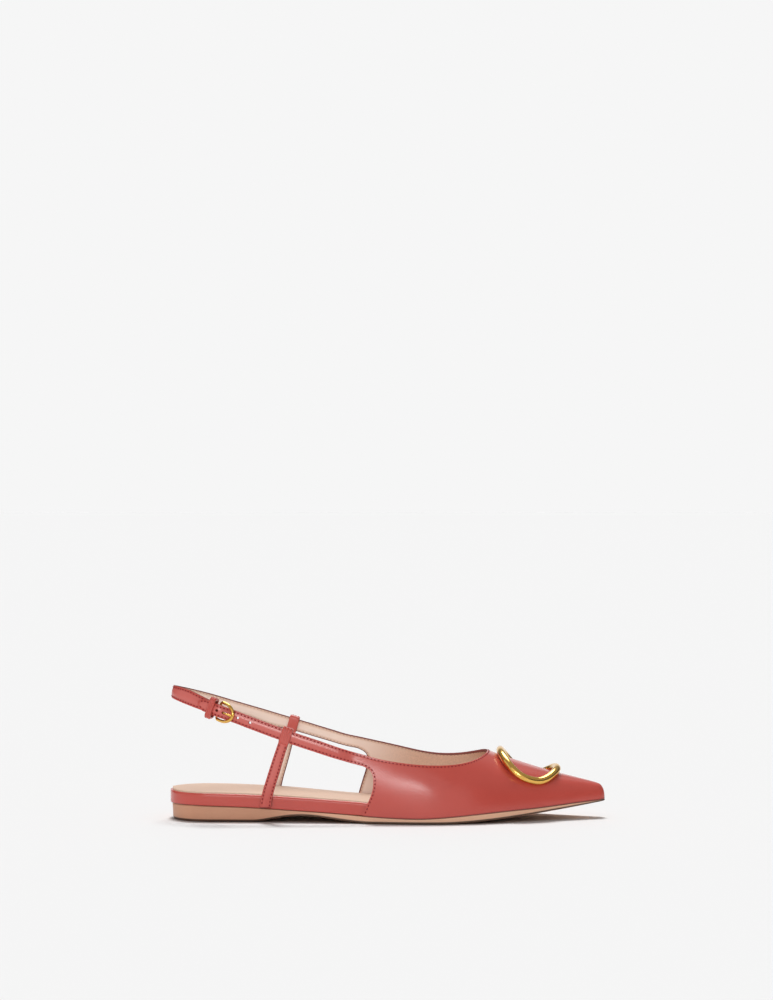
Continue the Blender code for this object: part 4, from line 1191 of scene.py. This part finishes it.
def calf(name, light, dark, roughness, coat, pale=None, speck=0.0, lining=False):
    """Smooth finished calf: even colour with soft clouding, faint pores, a pressed line along its seams.

    To the eye: a calm sheen whose highlights are broad, since the finish fills the grain. On a strap a
    painted sheen makes it paler between the seams, and a painted shade darkens the crease where it meets the
    sole.
    A lining is specked, has painted light towards the open back, and the edge's paint laps over its border.
    """
    made, tree, shader = material(name)
    place = on_object(tree)
    cloud = noise(tree, place, CLOUD_SIZE, 3.0)
    colour = mixed(tree, cloud, linear(dark), linear(light))
    if speck:
        grain = noise(tree, place, PORE_SIZE, 2.0)
        colour = toned(tree, colour, ranged(tree, grain, *SPECK_RANGE, 1.0 - speck, 1.0 + speck))
    pores = node(tree, "ShaderNodeTexVoronoi", Vector=place, Scale=per_mm(PORE_SIZE)).outputs["Distance"]
    height = combined(tree, "MULTIPLY_ADD", pores, PORE_DEPTH, cloud)
    if pale:
        edge, seat, strap = (kept(tree, key) for key in ("edge_mm", "seat_mm", "strap"))
        # A lining gets painted light towards the open back, where light gets in
        if lining:
            strap = combined(tree, "MAXIMUM", strap, smooth(tree, forward(tree, place), *OPEN_BACK_LIGHT))
        # Painted sheen: paler between the seams of a strap
        painted_light = combined(tree, "MULTIPLY", smooth(tree, edge, *PAINTED_SHEEN_RUN), strap)
        colour = mixed(tree, painted_light, colour, linear(pale))
        # Painted shade in the crease where the leather meets the sole
        colour = toned(tree, colour, smooth(tree, seat, 0.0, SEAT_SHADE_REACH, SEAT_SHADE_TONE))
        from_seam = combined(tree, "ABSOLUTE", combined(tree, "SUBTRACT", edge, STITCH_INSET))
        press = smooth(tree, from_seam, 0.0, PRESS_REACH)
        height = combined(tree, "MULTIPLY_ADD", press, PRESS_DEPTH, height)
        colour = toned(tree, colour, ranged(tree, press, 0.0, 1.0, PRESS_TONE, 1.0))
    if lining:
        colour = mixed(tree, smooth(tree, edge, *PAINT_LAP, 1.0, 0.0), colour, linear(EDGE_PAINT))
    feed(tree, shader, Base_Color=colour, Normal=relief(tree, height, 0.35, 0.12), IOR=1.48,
         Roughness=ranged(tree, cloud, 0.0, 1.0, roughness - 0.05, roughness + 0.06),
         Coat_Weight=coat, Coat_Roughness=0.35)
    return made


def sole_unit(name, light, dark, fore, contact_shadow_colour):
    """Moulded tan unit sole, lightly buffed, with fine scratches along its walls.

    To the eye: satin, a little mottled, paler forward, with a painted contact shadow where it meets the
    floor.
    """
    made, tree, shader = material(name)
    place = on_object(tree)
    colour = mixed(tree, noise(tree, place, MOTTLE_SIZE, 4.0), linear(dark), linear(light))
    colour = mixed(tree, smooth(tree, forward(tree, place), *FORE_RUN), colour, linear(fore))
    # Painted contact shadow along the foot of the sole's wall, where it meets the floor
    painted_contact_shadow = smooth(tree, kept(tree, "edge_mm"), *CONTACT_SHADOW_RUN, CONTACT_SHADOW_SHARE, 0.0)
    colour = mixed(tree, painted_contact_shadow, colour, linear(contact_shadow_colour))
    stretched = node(tree, "ShaderNodeMapping", Vector=place, Scale=(SCRATCH_STRETCH, 1.0, 1.0)).outputs[0]
    scratch = noise(tree, stretched, SCRATCH_SIZE, 2.0)
    feed(tree, shader, Base_Color=colour, Roughness=ranged(tree, scratch, 0.0, 1.0, 0.42, 0.58),
         Normal=relief(tree, scratch, 0.25, 0.08))
    return made


def gold(name, light, dark):
    """Polished gold plate on cast metal: mirror gloss, a faint softness from the polishing wheel."""
    made, tree, shader = material(name)
    place = on_object(tree)
    cloud = noise(tree, place, POLISH_SIZE, 3.0)
    feed(tree, shader, Base_Color=mixed(tree, cloud, linear(dark), linear(light)), Metallic=1.0,
         Roughness=ranged(tree, cloud, 0.0, 1.0, 0.09, 0.17))
    return made


def thread(name, light, dark):
    """Twisted polyester sewing thread: soft dark lines with a fine ply, drawn coarse enough to show."""
    made, tree, shader = material(name)
    place = on_object(tree)
    ply = noise(tree, place, PLY_SIZE, 2.0)
    feed(tree, shader, Base_Color=mixed(tree, ply, linear(dark), linear(light)), Roughness=0.7,
         Specular_IOR_Level=0.15, Normal=relief(tree, ply, 0.4, 0.1))
    return made


def paper(name, tone):
    """Matt pale paper: no gloss, so the floor shows the shoe's shadow alone."""
    made, tree, shader = material(name)
    feed(tree, shader, Base_Color=(tone, tone, tone, 1.0), Roughness=0.9, Specular_IOR_Level=0.0)
    return made


def placed(name, data):
    """New object in the scene."""
    item = bpy.data.objects.new(name, data)
    bpy.context.scene.collection.objects.link(item)
    return item


# The pale colours are painted light: a sheen on straps, and on the lining light towards the open back
CORAL = calf("coral_calf", "#C65146", "#BB483D", 0.22, 0.10, pale="#CE655C")
LINING = calf("nude_lining_kid", "#EBCAB4", "#E1BDA6", 0.55, 0.0, pale="#F6E0D2", speck=0.08, lining=True)
INSOLE = calf("nude_insole_kid", "#D9B9A2", "#D0AC94", 0.58, 0.0, speck=0.03)
EDGE = calf("painted_leather_edge", "#7E362C", EDGE_PAINT, 0.85, 0.0)
# The last colour is the painted contact shadow on the sole's lower edge
SOLE = sole_unit("tan_sole_unit", "#CF9778", "#C0896B", "#DFAF90", "#2E1E18")
GOLD = gold("polished_gold_plate", "#F1C36C", "#E0AA50")
THREAD = thread("dark_red_thread", "#94262A", "#7A1B20")
LINING_THREAD = thread("grey_rose_thread", "#A68577", "#94746A")

# Upper: vamp, quarters and sling arms, with its holes
arm = dict(zip(SIDES, arms()))
front = vamp()
quarters = SLING.quarters
top_edge = top_seam(front, arm, 0)
low_edges = [low_seam(side, arm, 0) for side in SIDES]
upper = piece("upper_calf", [front[:, ::-1], quarters[LATERAL][:, ::-1], quarters[MEDIAL],
                             arm[LATERAL][:, ::-1], arm[MEDIAL]],
              [CORAL, LINING, EDGE], "upper",
              edges=[top_edge, *low_edges, arm[LATERAL][-1], arm[MEDIAL][-1]],
              seats=[front[:, 0], front[:, -1], quarters[LATERAL][:, 0], quarters[MEDIAL][:, 0]],
              strap=[0.0, 0.0, 0.0, strap_sheen(arm[LATERAL]), strap_sheen(arm[MEDIAL])])
wall(upper, WALL)
punch(upper, hole_tools())

# Sole, footbed and insole
sole = sections(bottom_stations(LENGTH, NOSE), outsole_profile)
piece("sole_unit", [sole], [SOLE], "outsole", ring=True, caps=True,
      edges=[sole[:, SOLE_EDGE_ROW], sole[:, -1 - SOLE_EDGE_ROW]])
footbed = sections(bottom_stations(BED_TOE, BED_TOE_ROUND), footbed_profile)
bed_rows = footbed.shape[1] // 2
piece("footbed_wrap", [footbed], [CORAL], "footbed", ring=True, caps=True,
      seats=[footbed[:, bed_rows - 1], footbed[:, bed_rows]])
sock = sections(bottom_stations(INSOLE_TOE, BED_TOE_ROUND), insole_profile)
insole = piece("insole_sock", [sock], [INSOLE], "insole", ring=True, caps=True)

# Side straps with their sleeves
strap_grids = {side: side_strap(side) for side in SIDES}
for side, name in ((LATERAL, "side_strap_lateral"), (MEDIAL, "side_strap_medial")):
    grid = strap_grids[side]
    facing = grid if side < 0 else grid[:, ::-1]
    # The strap's painted sheen fades out towards its foot
    sheen_to_foot = FOOT_SHEEN + (1 - FOOT_SHEEN) * ease(*FOOT_SHEEN_RUN, np.linspace(0, 1, len(grid)))[:, None]
    strap = piece(name + "_calf", [facing], [CORAL, LINING, EDGE], name,
                  edges=[grid[:, 0], grid[:, -1]], seats=[grid[-1]], strap=[sheen_to_foot])
    wall(strap, SIDE_STRAP_THICKNESS)
    distance = SLING.at_station(SLEEVE_STATIONS[side], side)
    sleeve = loop(distance, -WALL / 2, STRAP_WIDTH + 2 * SLEEVE_CLEARANCE, WALL + 2 * SLEEVE_CLEARANCE,
                  SLEEVE_LENGTH, SLEEVE_WALL, SLEEVE_RIDGES, 0.0)
    # The loop has part of a strap's painted sheen
    piece(name + "_sleeve", [sleeve], [CORAL], name, ring=True, strap=[LOOP_SHEEN])

# Keeper behind the buckle, and the strap's end rolled round the buckle's bar
tip_lift = LIFT["lift"][0]
keeper = loop(BAR_PLACE - KEEPER_CENTRE, (tip_lift - WALL) / 2 + KEEPER_SPARE,
              STRAP_WIDTH + 2 * KEEPER_CLEARANCE, WALL + tip_lift + 2 * (FIT + KEEPER_SPARE),
              KEEPER_LENGTH, KEEPER_WALL, KEEPER_RIDGES, -1.0)
# The keeper has part of a strap's painted sheen
piece("strap_keeper_calf", [keeper], [CORAL], "strap_keeper", ring=True, strap=[LOOP_SHEEN])
for sign, name in ((-1, "bar_roll_low"), (1, "bar_roll_high")):
    piece(name, [bar_roll(sign)], [CORAL], "upper", ring=True)

# Buckle and ring
piece("buckle_frame_gold", [buckle_frame()], [GOLD], "buckle_frame", ring=True)
piece("buckle_prong_gold", [buckle_prong()], [GOLD], "buckle_prong", ring=True, caps=True)
piece("vamp_ring_gold", [vamp_ring()], [GOLD], "vamp_ring", ring=True)

# Seams: outer thread, and the paler thread that shows on the lining
insides = [top_seam(front, arm, SEAM_COLUMNS), *(low_seam(side, arm, SEAM_COLUMNS) for side in SIDES)]
seams = [(edge, inside, (edge - SEAM_MIDDLE) * SEAM_FACING, WALL)
         for edge, inside in zip([top_edge, *low_edges], insides)]
for side, grid in strap_grids.items():
    for column, inner in ((0, SEAM_COLUMNS), (-1, -1 - SEAM_COLUMNS)):
        seams.append((grid[:, column], grid[:, inner], np.array([0.0, side, 0.0]), SIDE_STRAP_THICKNESS))
outer_rows = [row_of_stitches(*seam[:3], STITCH_INSET, STITCH_LIFT) for seam in seams]
lining_rows = [row_of_stitches(*seam[:3], LINING_STITCH_INSET, -seam[3] - LINING_STITCH_LIFT)
               for seam in seams]
piece("seam_thread", stitches(outer_rows, STITCH_LENGTH, STITCH_THICKNESS), [THREAD], None,
      ring=True)
piece("lining_thread", stitches(lining_rows, LINING_STITCH_LENGTH, LINING_STITCH_THICKNESS), [LINING_THREAD],
      None, ring=True)

# Pale floor
floor_mesh = bpy.data.meshes.new("floor")
corners = [(-FLOOR_HALF, -FLOOR_HALF, 0), (FLOOR_HALF, -FLOOR_HALF, 0), (FLOOR_HALF, FLOOR_HALF, 0),
           (-FLOOR_HALF, FLOOR_HALF, 0)]
floor_mesh.from_pydata(corners, [], [(0, 1, 2, 3)])
floor_mesh.materials.append(paper("pale_paper_floor", FLOOR_TONE))
floor = placed("floor", floor_mesh)

# Soft studio light
world = bpy.data.worlds.new("studio")
bpy.context.scene.world = world
world.use_nodes = True
sky = world.node_tree
way = node(sky, "ShaderNodeSeparateXYZ", Vector=node(sky, "ShaderNodeTexCoord").outputs["Generated"]).outputs
behind = smooth(sky, way["Y"], *BRIGHT_BEHIND)
above = smooth(sky, way["Z"], *BRIGHT_ABOVE, 0.0, ABOVE_SHARE)
glow = ranged(sky, combined(sky, "MAXIMUM", behind, above), 0.0, 1.0, DIM, BRIGHT)
feed(sky, sky.nodes["Background"], Color=glow)
floor_only = bpy.data.collections.new("floor_only")
shoe_only = bpy.data.collections.new("shoe_only")
for group, state in ((floor_only, "INCLUDE"), (shoe_only, "EXCLUDE")):
    group.objects.link(floor)
    group.collection_objects[0].light_linking.link_state = state
strips = [(f"strip_{k}", *row) for k, row in enumerate(np.linspace(*STRIP_ENDS, STRIP_LAMPS))]
for name, strength, width, tilt, turn in (*LAMP_ROWS, *strips):
    lamp = bpy.data.lights.new(name, "SUN")
    lamp.energy = strength
    lamp.angle = np.radians(width)
    lamp_object = placed(name, lamp)
    lamp_object.rotation_euler = np.radians((tilt, 0, turn))
    lamp_object.light_linking.receiver_collection = floor_only if name == "floor_wash" else shoe_only

# Camera: level, square to the outer side
camera = bpy.data.cameras.new("camera")
camera.sensor_width = CAMERA_SENSOR
camera.lens = CAMERA_LENS
viewer = placed("camera", camera)
viewer.location = CAMERA_PLACE
viewer.rotation_euler = (np.pi / 2, 0, 0)
bpy.context.scene.camera = viewer
bpy.context.scene.view_settings.view_transform = "Standard"

bpy.context.view_layer.update()
